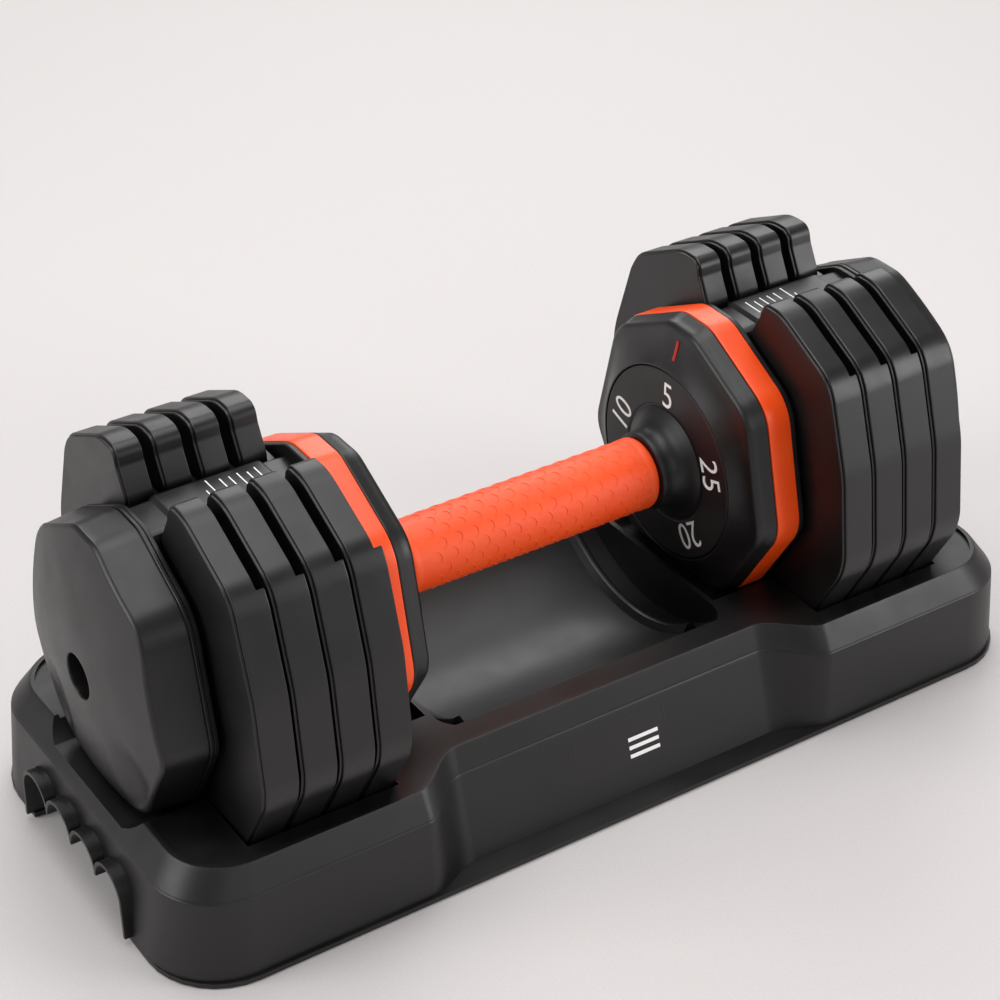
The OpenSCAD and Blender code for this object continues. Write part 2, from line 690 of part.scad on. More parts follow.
color("#f0f0f0") dial_numbers(1);  // dial_numbers_right
color("#b4b4b6") left() lock_rod();  // lock_rod_left
color("#b4b4b6") lock_rod();  // lock_rod_right
color("#b4b4b6") left() lock_pin();  // lock_pin_left
color("#b4b4b6") lock_pin();  // lock_pin_right
color("#c0c0c2") left() pin_spring();  // pin_spring_left
color("#c0c0c2") pin_spring();  // pin_spring_right
for (side = ["left", "right"], n = [1 : 4]) {
    color("#2b2b2d") plate_core(plate_x(side, n));
    color("#1c1c1e") plate_cover(plate_x(side, n));
}
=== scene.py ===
import math
import bpy
import bmesh
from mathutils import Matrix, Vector


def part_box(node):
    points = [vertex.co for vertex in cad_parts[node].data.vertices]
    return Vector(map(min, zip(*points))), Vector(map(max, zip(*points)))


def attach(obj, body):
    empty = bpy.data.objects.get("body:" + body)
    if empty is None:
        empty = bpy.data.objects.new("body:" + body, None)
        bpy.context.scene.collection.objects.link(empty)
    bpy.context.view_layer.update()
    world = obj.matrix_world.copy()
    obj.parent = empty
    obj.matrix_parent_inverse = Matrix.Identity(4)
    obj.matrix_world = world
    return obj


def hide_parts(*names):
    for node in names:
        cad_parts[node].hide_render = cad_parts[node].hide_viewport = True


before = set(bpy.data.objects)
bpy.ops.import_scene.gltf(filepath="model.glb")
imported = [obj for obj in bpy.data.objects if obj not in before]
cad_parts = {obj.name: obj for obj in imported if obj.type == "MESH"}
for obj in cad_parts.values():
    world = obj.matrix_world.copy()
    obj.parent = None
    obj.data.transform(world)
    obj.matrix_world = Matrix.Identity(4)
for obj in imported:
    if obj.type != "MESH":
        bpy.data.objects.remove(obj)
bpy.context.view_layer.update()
mm = 0.001  # every length below is in millimetres, apart from the stage's


def boxMm(node):
    lo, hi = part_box(node)
    return Vector(lo) / mm, Vector(hi) / mm


def stations():
    # places along the handle on the +X side, read from the frame
    s = {}
    lo, hi = boxMm("grip_sleeve")
    s["axisZ"] = (lo.z + hi.z) / 2
    s["gripR"] = (hi.z - lo.z) / 2
    s["gripHalf"] = hi.x
    lo, hi = boxMm("dial_right")
    s["dialX"], s["dialBack"], s["dialR"] = lo.x, hi.x, (hi.y - lo.y) / 2
    s["sideX"] = boxMm("inner_head_right")[1].x
    s["bandX"] = boxMm("accent_band_right")[1].x
    s["flangeX"] = boxMm("head_back_right")[1].x
    lo, hi = boxMm("cap_plate_right")
    s["capX"] = lo.x
    lo, hi = boxMm("end_cap_right")
    s["shellX"], s["endX"] = lo.x, hi.x
    lo, hi = boxMm("plate_core_right_1")
    s["plateX"] = lo.x
    s["plateT"] = boxMm("plate_cover_right_1")[1].x - lo.x
    s["plateRise"] = hi.z - s["axisZ"]
    s["plateDrop"] = s["axisZ"] - lo.z
    s["plateHalf"] = hi.y
    lo, hi = boxMm("cradle_shell")
    s["lobeHalf"], s["rimZ"], s["shellLow"] = hi.y, hi.z, lo.z
    s["lipX"] = hi.x
    return s


st = stations()
axisZ = st["axisZ"]


def newObject(name, data):
    obj = bpy.data.objects.new(name, data)
    bpy.context.scene.collection.objects.link(obj)
    return obj


def meshFrom(name, verts, faces):
    mesh = bpy.data.meshes.new(name)
    mesh.from_pydata([Vector(v) * mm for v in verts], [], faces)
    bm = bmesh.new()
    bm.from_mesh(mesh)
    bmesh.ops.remove_doubles(bm, verts=bm.verts, dist=1e-6)
    bmesh.ops.recalc_face_normals(bm, faces=bm.faces)
    bm.to_mesh(mesh)
    bm.free()
    return newObject(name, mesh)


def loft(name, rings, closed=False):
    # rings of equal length joined in turn; closed joins the last to the first
    n = len(rings[0])
    verts = [p for ring in rings for p in ring]
    faces = []
    pairs = [(k, k + 1) for k in range(len(rings) - 1)]
    if closed:
        pairs.append((len(rings) - 1, 0))
    for a, b in pairs:
        for i in range(n):
            j = (i + 1) % n
            faces.append((a * n + i, a * n + j, b * n + j, b * n + i))
    if not closed:
        faces.append(tuple(range(n - 1, -1, -1)))
        faces.append(tuple((len(rings) - 1) * n + i for i in range(n)))
    return meshFrom(name, verts, faces)


def applyMods(obj):
    deps = bpy.context.evaluated_depsgraph_get()
    mesh = bpy.data.meshes.new_from_object(obj.evaluated_get(deps))
    obj.modifiers.clear()
    old = obj.data
    obj.data = mesh
    bpy.data.meshes.remove(old)


def boolean(obj, others, operation="DIFFERENCE", keep=False):
    for o in others:
        mod = obj.modifiers.new("cut", "BOOLEAN")
        mod.operation = operation
        mod.solver = "EXACT"
        mod.object = o
    applyMods(obj)
    if not keep:
        for o in others:
            bpy.data.objects.remove(o)


def bevel(obj, width, angle):
    # rounds every edge sharper than angle
    mod = obj.modifiers.new("bevel", "BEVEL")
    mod.width = width * mm
    mod.segments = 2
    mod.limit_method = "ANGLE"
    mod.angle_limit = math.radians(angle)
    mod.miter_outer = "MITER_ARC"
    applyMods(obj)


def shade(obj, angle):
    # smooth shading that keeps broad faces flat and edges over angle sharp
    for p in obj.data.polygons:
        p.use_smooth = True
    obj.data.set_sharp_from_angle(angle=math.radians(angle))
    mod = obj.modifiers.new("normals", "WEIGHTED_NORMAL")
    mod.keep_sharp = True
    mod.weight = 80
    applyMods(obj)


def copied(obj, name):
    mesh = obj.data.copy()
    mesh.name = name
    return newObject(name, mesh)


def mirrored(obj, name):
    # the same piece on the -X side, with its faces turned the right way out
    twin = copied(obj, name)
    for v in twin.data.vertices:
        v.co.x = -v.co.x
    twin.data.flip_normals()
    return twin


def moved(obj, name, dx):
    twin = copied(obj, name)
    for v in twin.data.vertices:
        v.co.x += dx * mm
    return twin


def unit(a, b):
    dx, dy = b[0] - a[0], b[1] - a[1]
    n = math.hypot(dx, dy)
    return dx / n, dy / n


def whole(half):
    # a half outline from top to bottom and its mirrored half, counter-clockwise
    return [tuple(p) for p in reversed(half)] + [(-p[0], p[1]) for p in half]


def wholeRadii(radii):
    return list(reversed(radii)) + list(radii)


def grow(points, d):
    # the outline with every edge moved out by d
    out = []
    n = len(points)
    for i in range(n):
        u = unit(points[i - 1], points[i])
        v = unit(points[i], points[(i + 1) % n])
        a, b = (u[1], -u[0]), (v[1], -v[0])
        k = d / (1 + a[0] * b[0] + a[1] * b[1])
        out.append((points[i][0] + k * (a[0] + b[0]), points[i][1] + k * (a[1] + b[1])))
    return out


def rounded(points, radii, steps=8):
    # a polygon with a fillet of its own radius at each corner
    out = []
    n = len(points)
    for i in range(n):
        p = points[i]
        u, v = unit(p, points[i - 1]), unit(p, points[(i + 1) % n])
        half = math.acos(max(-1, min(1, u[0] * v[0] + u[1] * v[1]))) / 2
        r = radii[i]
        t = r / math.tan(half)
        m = unit((0, 0), (u[0] + v[0], u[1] + v[1]))
        c = (p[0] + m[0] * r / math.sin(half), p[1] + m[1] * r / math.sin(half))
        a0 = math.atan2(p[1] + u[1] * t - c[1], p[0] + u[0] * t - c[0])
        a1 = math.atan2(p[1] + v[1] * t - c[1], p[0] + v[0] * t - c[0])
        sweep = (a1 - a0 + math.pi) % (2 * math.pi) - math.pi
        for k in range(steps + 1):
            a = a0 + sweep * k / steps
            out.append((c[0] + r * math.cos(a), c[1] + r * math.sin(a)))
    return out


def fine(points, most):
    # extra points along the straight edges, none longer than most
    out = []
    for i, p in enumerate(points):
        q = points[(i + 1) % len(points)]
        n = max(1, math.ceil(math.hypot(q[0] - p[0], q[1] - p[1]) / most))
        out += [(p[0] + (q[0] - p[0]) * k / n, p[1] + (q[1] - p[1]) * k / n) for k in range(n)]
    return out


def inset(points, d):
    # every point moved in by d along its own normal, so rings keep their length
    out = []
    n = len(points)
    for i in range(n):
        u = unit(points[i - 1], points[(i + 1) % n])
        out.append((points[i][0] - d * u[1], points[i][1] + d * u[0]))
    return out


def ringAt(x, loop):
    # an outline about the handle axis, stood at x
    return [(x, p[0], axisZ + p[1]) for p in loop]


def toCircle(loop, r):
    # the loop's directions on a circle about the handle axis
    return [(r * p[0] / math.hypot(*p), r * p[1] / math.hypot(*p)) for p in loop]


def mix(a, b, t):
    # an outline part way from a to b
    return [(p[0] + (q[0] - p[0]) * t, p[1] + (q[1] - p[1]) * t) for p, q in zip(a, b)]


def turned(name, profile, sides=128, closed=True):
    # a profile of (x, radius) about the handle axis
    angles = [2 * math.pi * i / sides for i in range(sides)]
    rings = [[(x, r * math.cos(a), axisZ + r * math.sin(a)) for a in angles] for x, r in profile]
    return loft(name, rings, closed)


def arc(cx, cr, r, a0, a1, steps=8):
    # points of a fillet in the (x, radius) plane, angles in degrees
    angles = [math.radians(a0 + (a1 - a0) * k / steps) for k in range(steps + 1)]
    return [(cx + r * math.cos(a), cr + r * math.sin(a)) for a in angles]


boxFaces = [(0, 1, 3, 2), (4, 6, 7, 5), (0, 4, 5, 1), (2, 3, 7, 6), (0, 2, 6, 4), (1, 5, 7, 3)]


def block(name, lo, hi):
    (x0, y0, z0), (x1, y1, z1) = lo, hi
    return meshFrom(name, [(x, y, z) for x in (x0, x1) for y in (y0, y1) for z in (z0, z1)], boxFaces)


def linear(hexColour):
    # sRGB hex to linear RGBA
    parts = [int(hexColour[i:i + 2], 16) / 255 for i in (1, 3, 5)]
    return tuple(c / 12.92 if c <= 0.04045 else ((c + 0.055) / 1.055) ** 2.4 for c in parts) + (1.0,)


def addNode(tree, kind, settings=None, links=None):
    # settings name sockets or properties; links give socket: (node, output)
    node = tree.nodes.new(kind)
    for key, value in (settings or {}).items():
        if isinstance(key, int) or key in node.inputs:
            node.inputs[key].default_value = value
        else:
            setattr(node, key, value)
    for key, (source, output) in (links or {}).items():
        tree.links.new(source.outputs[output], node.inputs[key])
    return node


def newMaterial(name, base, roughness, **sockets):
    mat = bpy.data.materials.new(name)
    mat.use_nodes = True
    tree = mat.node_tree
    shader = tree.nodes["Principled BSDF"]
    shader.inputs["Base Color"].default_value = linear(base)
    shader.inputs["Roughness"].default_value = roughness
    for key, value in sockets.items():
        shader.inputs[key].default_value = value
    return mat, tree, shader


def mouldedPlastic(name, base, light, roughness, grain=0.45, depth=0.03, swirl=26):
    # a moulded surface: spark-eroded grain of size grain and height depth, with
    # faint flow marks of size swirl that also vary the sheen
    mat, tree, shader = newMaterial(name, base, roughness, IOR=1.5)
    coord = addNode(tree, "ShaderNodeTexCoord")
    fineGrain = addNode(tree, "ShaderNodeTexNoise", {"Scale": 1 / (grain * mm), "Detail": 2.0},
                        {"Vector": (coord, "Object")})
    flow = addNode(tree, "ShaderNodeTexNoise", {"Scale": 1 / (swirl * mm), "Detail": 4.0, "Roughness": 0.6},
                   {"Vector": (coord, "Object")})
    # 55 % grain and 45 % flow marks tint the colour
    speck = addNode(tree, "ShaderNodeMath", {"operation": "MULTIPLY_ADD", 1: 0.55, 2: 0.0},
                    {0: (fineGrain, "Fac")})
    both = addNode(tree, "ShaderNodeMath", {"operation": "MULTIPLY_ADD", 1: 0.45},
                   {0: (flow, "Fac"), 2: (speck, 0)})
    tint = addNode(tree, "ShaderNodeValToRGB", {}, {"Fac": (both, 0)})
    tint.color_ramp.elements[0].position = 0.36
    tint.color_ramp.elements[0].color = linear(base)
    tint.color_ramp.elements[1].position = 0.64
    tint.color_ramp.elements[1].color = linear(light)
    tree.links.new(tint.outputs["Color"], shader.inputs["Base Color"])
    gloss = addNode(tree, "ShaderNodeMapRange", {"From Min": 0.3, "From Max": 0.7,
                                                 "To Min": roughness - 0.05, "To Max": roughness + 0.06},
                    {"Value": (flow, "Fac")})
    tree.links.new(gloss.outputs["Result"], shader.inputs["Roughness"])
    bump = addNode(tree, "ShaderNodeBump", {"Strength": 0.35, "Distance": depth * mm},
                   {"Height": (fineGrain, "Fac")})
    tree.links.new(bump.outputs["Normal"], shader.inputs["Normal"])
    return mat


def brushedMetal(name, base, light, roughness):
    # turned or drawn metal: streaks along X, about 17 mm long and 0.4 mm wide
    mat, tree, shader = newMaterial(name, base, roughness, Metallic=1.0)
    coord = addNode(tree, "ShaderNodeTexCoord")
    stretch = addNode(tree, "ShaderNodeMapping", {"Scale": (1.0, 40.0, 40.0)}, {"Vector": (coord, "Object")})
    lines = addNode(tree, "ShaderNodeTexNoise", {"Scale": 60.0, "Detail": 5.0},
                    {"Vector": (stretch, "Vector")})
    tint = addNode(tree, "ShaderNodeValToRGB", {}, {"Fac": (lines, "Fac")})
    tint.color_ramp.elements[0].position = 0.3
    tint.color_ramp.elements[0].color = linear(base)
    tint.color_ramp.elements[1].position = 0.7
    tint.color_ramp.elements[1].color = linear(light)
    tree.links.new(tint.outputs["Color"], shader.inputs["Base Color"])
    bump = addNode(tree, "ShaderNodeBump", {"Strength": 0.2, "Distance": 0.02 * mm},
                   {"Height": (lines, "Fac")})
    tree.links.new(bump.outputs["Normal"], shader.inputs["Normal"])
    return mat


finishes = {
    # fine grain that breaks the lights into a soft satin
    "headPlastic": mouldedPlastic("satinBlackAbs", "#0b0a0a", "#131111", 0.4),
    # a little coarser and glossier, so each plate's edge catches a line of light
    "platePlastic": mouldedPlastic("satinBlackPlateCover", "#0c0b0b", "#151313", 0.38, grain=0.5, depth=0.04),
    # the coarsest grain of the blacks, with dull broad faces
    "cradlePlastic": mouldedPlastic("blackPolypropylene", "#0a0909", "#121010", 0.42, grain=0.6, depth=0.05),
    # a darker copy of the satin black: painted shade for the parts that stand back
    "shadedBlackPlastic": mouldedPlastic("darkAbs", "#070606", "#0d0b0b", 0.45),
    # matt, so the white numbers stand out on it
    "dialPlastic": mouldedPlastic("dialAbs", "#0d0b0b", "#151213", 0.5, grain=0.4),
    # smooth and bright, with hardly any grain
    "bandPlastic": mouldedPlastic("orangeAbs", "#ff4a0a", "#ff5814", 0.36, grain=0.5, depth=0.015, swirl=40),
    # dull soft rubber with a mottled sheen
    "gripRubber": mouldedPlastic("orangeGripRubber", "#ff4c10", "#ff5c20", 0.5, grain=0.7, depth=0.05,
                                 swirl=18),
    # the glossiest black, so the badge shows against the wall
    "badgePlastic": mouldedPlastic("badgeAbs", "#110f0f", "#181616", 0.3, grain=0.3, depth=0.01),
    # powder coat: orange-peel bumps in a satin black
    "coreSteel": mouldedPlastic("powderCoatedSteel", "#080707", "#0f0d0d", 0.42, grain=0.7, depth=0.06),
    # chalky dark grey with no highlight
    "footRubber": mouldedPlastic("footRubber", "#0c0c0c", "#161616", 0.75, grain=0.5, depth=0.05),
    # flat clean white
    "numberPaint": mouldedPlastic("whitePrintInk", "#f4f4f2", "#ffffff", 0.45, grain=0.4, depth=0.01),
    # dark red, even and half glossy
    "markPaint": mouldedPlastic("redMarkAbs", "#a01408", "#c02814", 0.4, grain=0.4, depth=0.01),
    # rough sand-cast skin in dark grey
    "castIron": mouldedPlastic("castIron", "#2a2a2c", "#3c3c3e", 0.6, grain=1.2, depth=0.12),
    # grey metal with long fine lines
    "steel": brushedMetal("groundSteel", "#8f9092", "#b9babc", 0.3),
    # warm yellow metal with the same lines
    "brass": brushedMetal("bearingBrass", "#a8853c", "#cfae60", 0.32),
}
print("materials ready")


def finishPiece(obj, finish, body, nodes=(), angle=32):
    shade(obj, angle)
    obj.data.materials.clear()
    obj.data.materials.append(finishes[finish])
    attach(obj, body)
    if nodes:
        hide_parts(*nodes)


def bothSides(obj, name, finish, body, node, angle=32):
    # obj is the right-hand piece; a mirrored copy serves the left
    twin = mirrored(obj, name + "Left")
    obj.name = name + "Right"
    finishPiece(obj, finish, body, [node + "_right"] if node else (), angle)
    finishPiece(twin, finish, body, [node + "_left"] if node else (), angle)


head = {
    # right half of the outline, top to bottom
    "half": [(10, 70.6), (52, 48.6), (66.5, -10.4), (38, -57.4)],
    "radii": [18, 22, 20, 18],
    "wall": 3.6,
    "crown": 5.4,        # fall of the face from the dial to its edge
    "edgeFillet": 3.2,   # rounding between face and side
    "draft": 2.2,        # how much the side opens towards the band
    "boreGap": 0.3,      # air round the dial
    "boreEdge": 0.9,     # width of the eased edge round the dial
    "boreDip": 0.12,     # how far that edge lies behind the dial's face
    "markGap": 0.15,     # air round the index mark
    "backHole": 20.05,   # radius of the hole in the back plate
}
headLoop = fine(rounded(whole(head["half"]), wholeRadii(head["radii"]), 10), 4)


def crownFall(t):
    # steepest at the dial, level at the edge
    return 1 - (1 - t) ** 1.5


def buildHead():
    bore = st["dialR"] + head["boreGap"]
    front, side = st["dialX"], st["sideX"]
    edge = front + head["crown"]
    fil, draft, wall, dip = head["edgeFillet"], head["draft"], head["wall"], head["boreDip"]
    circle = toCircle(headLoop, bore)
    wideCircle = toCircle(headLoop, bore + head["boreEdge"])
    faceLoop = inset(headLoop, draft + fil)
    rings = [ringAt(front + wall, circle), ringAt(front + 0.7, circle),
             ringAt(front + 0.15, toCircle(headLoop, bore + 0.25)), ringAt(front + dip, wideCircle)]
    # crowned face, rounding, drafted side
    for k in range(1, 11):
        t = k / 10
        rings.append(ringAt(front + dip + (head["crown"] - dip) * crownFall(t), mix(wideCircle, faceLoop, t)))
    for k in range(1, 7):
        a = math.radians(90 * k / 6)
        rings.append(ringAt(edge + fil * (1 - math.cos(a)), inset(headLoop, draft + fil * (1 - math.sin(a)))))
    for k in range(1, 5):
        t = k / 4
        x = edge + fil + (side - 0.8 - edge - fil) * t
        rings.append(ringAt(x, inset(headLoop, draft * (1 - t) + 0.35)))
    # edge towards the band, then back along the inside
    inner = ((side - 0.25, 0.5), (side, 0.9), (side, wall), (edge + fil, wall + 1), (edge + wall, wall + 4))
    rings += [ringAt(x, inset(headLoop, d)) for x, d in inner]
    obj = loft("innerHead", rings, closed=True)
    lo, hi = boxMm("index_mark_right")
    g = head["markGap"]
    boolean(obj, [block("markSlot", (lo.x - 4, lo.y - g, lo.z - g), (hi.x + 0.1, hi.y + g, hi.z + g))])
    bothSides(obj, "innerHead", "headPlastic", "handle_frame", "inner_head", 28)


mark = {
    "reach": 21,    # how far up the crowned face it follows
    "sunk": 0.05,   # how far its edge lies below the face
    "proud": 0.25,  # height of the middle over the edge
    "ease": 0.4,    # width of the slope between them
    "side": 0.1,
}


def buildIndexMark():
    lo, hi = boxMm("index_mark_right")
    r0 = st["dialR"] + head["boreGap"]
    y0, y1 = lo.y + mark["side"], hi.y - mark["side"]
    rings = []
    for k in range(9):
        z = lo.z + (hi.z - lo.z) * k / 8
        t = min(1.0, max(0.0, (z - axisZ - r0) / mark["reach"]))
        x = st["dialX"] + head["crown"] * crownFall(t) + mark["sunk"]
        top, ease = x - mark["proud"], mark["ease"]
        rings.append([(x, y0, z), (top, y0 + ease, z), (top, y1 - ease, z), (x, y1, z), (hi.x, y1, z),
                      (hi.x, y0, z)])
    bothSides(loft("indexMark", rings), "indexMark", "markPaint", "handle_frame", "index_mark")


band = {
    "edge": [(0, 0.7), (0.25, 0.2), (0.7, 0)],  # rounding of both edges: distance along X, distance in
    "stemR": 3.5,        # hole for the latch pin's stem
    "stemZ": (-62, -45),
}


def buildBand():
    x0, x1 = st["sideX"] + 0.05, st["bandX"]
    ease = band["edge"][-1][0]
    rings = [ringAt(x0, inset(headLoop, head["wall"]))]
    rings += [ringAt(x0 + dx, inset(headLoop, d)) for dx, d in band["edge"]]
    rings += [ringAt(x0 + ease + (x1 - x0 - 2 * ease) * k / 3, headLoop) for k in (1, 2, 3)]
    rings += [ringAt(x1 - dx, inset(headLoop, d)) for dx, d in reversed(band["edge"][:-1])]
    rings.append(ringAt(x1, inset(headLoop, head["wall"])))
    obj = loft("accentBand", rings, closed=True)
    lo, hi = boxMm("release_post_right")
    post, r, n = (lo + hi) / 2, band["stemR"], 32
    ring = [(post.x + r * math.cos(2 * math.pi * k / n), r * math.sin(2 * math.pi * k / n)) for k in range(n)]
    boolean(obj, [loft("stemHole", [[(x, y, axisZ + z) for x, y in ring] for z in band["stemZ"]])])
    bothSides(obj, "accentBand", "bandPlastic", "handle_frame", "accent_band", 28)


def buildHeadBack():
    x0, x1 = st["bandX"] + 0.05, st["flangeX"]
    hole = toCircle(headLoop, head["backHole"])
    rings = [ringAt(x0, hole)]
    for x, d in ((x0, 1.0), (x0 + 0.4, 0.5), (x1 - 0.8, 0.5), (x1 - 0.2, 0.9), (x1, 1.6)):
        rings.append(ringAt(x, inset(headLoop, d)))
    rings.append(ringAt(x1, hole))
    obj = loft("headBack", rings, closed=True)
    # the back plate's darker black is painted shade
    bothSides(obj, "headBack", "shadedBlackPlastic", "handle_frame", "head_back", 28)


cap = {
    "half": [(10, 67.6), (49, 46.6), (62, -11.4), (37, -56.4)],
    "radii": [18, 24, 18, 22],
    "wall": 3,
    "dome": 10.8,         # rise of the dome over its reach
    "reach": 72,
    "scoop": 2.6,         # depth of the low hollow on each side
    "scoopAt": (34, -34),
    "scoopSize": (17, 24),
    "fillet": 2.6,
    "draft": 1.6,
    "hole": 10,           # radius of the recess in the middle
    # rim flange and the narrow groove beside it: distance from the cap plate, distance in
    "rim": [(0, 0.5), (0.4, 0.1), (1.5, 0.05), (1.8, 0.3), (1.9, 1.0), (2.3, 1.0), (2.4, 0.5), (2.7, 0.25)],
    "lip": [(0.35, 0.12), (0.1, 0.45), (0, 0.9), (0, 4), (-0.1, 9)],  # recess wall: radius over hole, depth
    "plug": [(8.4, 0.4), (8.4, 3.2), (7.6, 3.6), (7.2, 5.4), (7.6, 8.6)],  # plug's top: depth, radius
}
capLoop = fine(rounded(whole(cap["half"]), wholeRadii(cap["radii"]), 10), 4)


def domeX(r):
    big = (cap["reach"] ** 2 + cap["dome"] ** 2) / (2 * cap["dome"])
    return st["endX"] - big + math.sqrt(big * big - r * r)


def scoopAt(p):
    (y, z), (wide, high) = cap["scoopAt"], cap["scoopSize"]
    d = math.hypot((abs(p[0]) - y) / wide, (p[1] - z) / high)
    return cap["scoop"] * (1 - d * d) ** 2 if d < 1 else 0.0


def ringBy(loop, xs):
    # an outline whose points each have an x of their own
    return [(x, p[0], axisZ + p[1]) for x, p in zip(xs, loop)]


def buildEndCap():
    rim = st["shellX"]
    wall, fil, draft = cap["wall"], cap["fillet"], cap["draft"]
    lastX, lastIn = cap["rim"][-1]
    rings = [ringAt(rim, inset(capLoop, wall))]
    rings += [ringAt(rim + x, inset(capLoop, d)) for x, d in cap["rim"]]
    # drafted side, rounding, dome
    edgeLoop = inset(capLoop, draft + fil)
    ends = [domeX(math.hypot(*p)) for p in edgeLoop]
    for k in range(1, 7):
        t = k / 6
        xs = [rim + lastX + (e - fil - rim - lastX) * t for e in ends]
        rings.append(ringBy(inset(capLoop, lastIn + draft * t), xs))
    for k in range(1, 6):
        a = math.radians(90 * k / 5)
        loop = inset(capLoop, draft + fil * (1 - math.cos(a)))
        rings.append(ringBy(loop, [e - fil * (1 - math.sin(a)) for e in ends]))
    hole = toCircle(capLoop, cap["hole"] + 0.8)
    for k in range(1, 27):
        loop = mix(edgeLoop, hole, k / 26)
        rings.append(ringBy(loop, [domeX(math.hypot(*p)) - scoopAt(p) for p in loop]))
    # recess wall, then back along the inside
    top = domeX(cap["hole"])
    rings += [ringAt(top - dx, toCircle(capLoop, cap["hole"] + dr)) for dr, dx in cap["lip"]]
    rings.append(ringAt(top - 9, toCircle(capLoop, cap["hole"] + wall)))
    rings.append(ringAt(st["endX"] - 6, mix(hole, inset(capLoop, wall + 4), 0.5)))
    rings.append(ringAt(rim + 14, inset(capLoop, wall + 1)))
    obj = loft("endCap", rings, closed=True)
    bothSides(obj, "endCap", "headPlastic", "handle_frame", "end_cap", 28)
    # sunk plug at the bottom of the recess
    plugR = cap["hole"] - 0.3
    profile = [(top - d, r) for d, r in cap["plug"] + [(8.2, plugR), (10, plugR), (10, 0.4)]]
    plug = turned("capPlug", profile, 64)
    # the plug's darker black is painted shade
    bothSides(plug, "capPlug", "shadedBlackPlastic", "handle_frame", "")


def buildCapPlate():
    x0, x1 = st["capX"], st["shellX"] - 0.05
    steps = ((x0, 1.4), (x0 + 0.2, 0.9), (x0 + 0.7, 0.65), (x1 - 0.5, 0.65), (x1, 1.1))
    obj = loft("capPlate", [ringAt(x, inset(capLoop, d)) for x, d in steps])
    # the cap plate's darker black is painted shade
    bothSides(obj, "capPlate", "shadedBlackPlastic", "handle_frame", "cap_plate", 28)


plate = {
    "hornY": 37,       # outer corner of a horn
    "notchIn": 16,     # how far the notch beside a horn lies inside the full width
    "slotHalf": 15, "slotLow": 14.6,  # slot that the spine passes through
    "radii": [24, 18, 24, 60, 26, 26, 16],
    "slotRadii": [6, 7, 8, 3],
    "flange": 1.3,     # steel that shows behind the cover
    "flangeIn": 1.1,
    "chamfer": 0.8,
    "hornCut": 3.8,    # how much thinner a horn is than the plate
    "hornZ": 61,
    "hole": 7.6,
    "wall": 3,
    "inside": 8.5,     # how deep the steel fills the cover
}


def plateOutline():
    w, up, down = st["plateHalf"], st["plateRise"], st["plateDrop"]
    notch = w - plate["notchIn"]
    half = [(plate["hornY"], up), (notch - 5, up - 16.5), (notch, up - 25), (w - 4.6, 24), (w + 0.4, -15.4),
            (w - 1.4, -25.4), (w - 29, -down)]
    s, low = plate["slotHalf"], plate["slotLow"]
    slot = [(s + 8.4, up), (s + 6.4, up - 8), (s, up - 20), (s, low)]
    right = list(reversed(half)) + slot
    radii = list(reversed(plate["radii"])) + plate["slotRadii"]
    points = right + [(-p[0], p[1]) for p in reversed(right)]
    return fine(rounded(points, radii + list(reversed(radii)), 8), 12)


def buildPlates():
    loop = plateOutline()
    t, f, wall = st["plateT"], plate["flange"], plate["wall"]
    x0 = st["plateX"]
    up, big = st["plateRise"], st["plateHalf"] + 5

    def slab(name, a, b, first, last, shrink=0.0):
        # a plate from a to b with rounded edges of first and last
        steps = [(a, first), (a + first * 0.12, first * 0.55), (a + first * 0.45, first * 0.16),
                 (a + first, 0), (b - last, 0),
                 (b - last * 0.45, last * 0.16), (b - last * 0.12, last * 0.55), (b, last)]
        return loft(name, [ringAt(x, inset(loop, d + shrink)) for x, d in steps])

    def bore():
        return turned("bore", [(x0 - 2, plate["hole"]), (x0 + t + 2, plate["hole"])], 64, closed=False)

    def filling(name, a, b, d):
        return loft(name, [ringAt(a, inset(loop, d)), ringAt(b, inset(loop, d))])

    # the horns are thinner on one face, down to a step below the shoulder
    z, y = plate["hornZ"], st["plateHalf"] - 21
    right = [(y - 2, z), (y + 1.5, up - 17.2), (big, z + 16), (big, 130)]
    cutLoop = [(-p[0], p[1]) for p in reversed(right)] + right
    hornCutter = loft("hornCut", [ringAt(x0 + t - plate["hornCut"], cutLoop), ringAt(x0 + t + 5, cutLoop)])
    cover = slab("plateCover", x0 + f, x0 + t, 0.7, plate["chamfer"])
    space = filling("coreSpace", x0 + f - 1, x0 + plate["inside"] + 0.1, wall)
    boolean(cover, [hornCutter, space, bore()])
    bevel(cover, 0.45, 50)
    core = slab("plateCore", x0, x0 + f, 0.5, 0.05, plate["flangeIn"])
    boolean(core, [filling("coreSlab", x0 + f - 0.4, x0 + plate["inside"], wall + 0.05)], "UNION")
    boolean(core, [bore()])
    for side in ("left", "right"):
        for n in range(1, 5):
            dx = boxMm(f"plate_core_{side}_{n}")[0].x - x0
            body = f"plate_{side}_{n}"
            a = moved(cover, f"plateCover{side.capitalize()}{n}", dx)
            b = moved(core, f"plateCore{side.capitalize()}{n}", dx)
            finishPiece(a, "platePlastic", body, [f"plate_cover_{side}_{n}"], 30)
            finishPiece(b, "coreSteel", body, [f"plate_core_{side}_{n}"], 30)
    for o in (cover, core):
        bpy.data.objects.remove(o)


spine = {
    "half": 13, "low": 15.8, "top": 66.6,
    "stepAt": 25,  # half-length of the raised middle
    # how far the top lies below that middle: distance along X, drop
    "ends": [(0, 2.4), (2, 2.2)],
    "step": [(-3, 1.9), (-0.8, 1.8), (0, 0.9), (0.9, 0.15), (2, 0.0)],
    "corner": [(0, 5), (0.3, 3.2), (1.2, 1.4), (2.6, 0.4), (4.2, 0)],  # rounded top edge: distance in, down
    # plain bars where a label would sit: distance from the middle, length
    "bars": [(-20, 11), (-16, 9.5), (-12, 11), (-8, 10.5), (-4, 11), (1.5, 13), (4.5, 6)],
    "barWide": 0.55, "barFrom": -5,
}


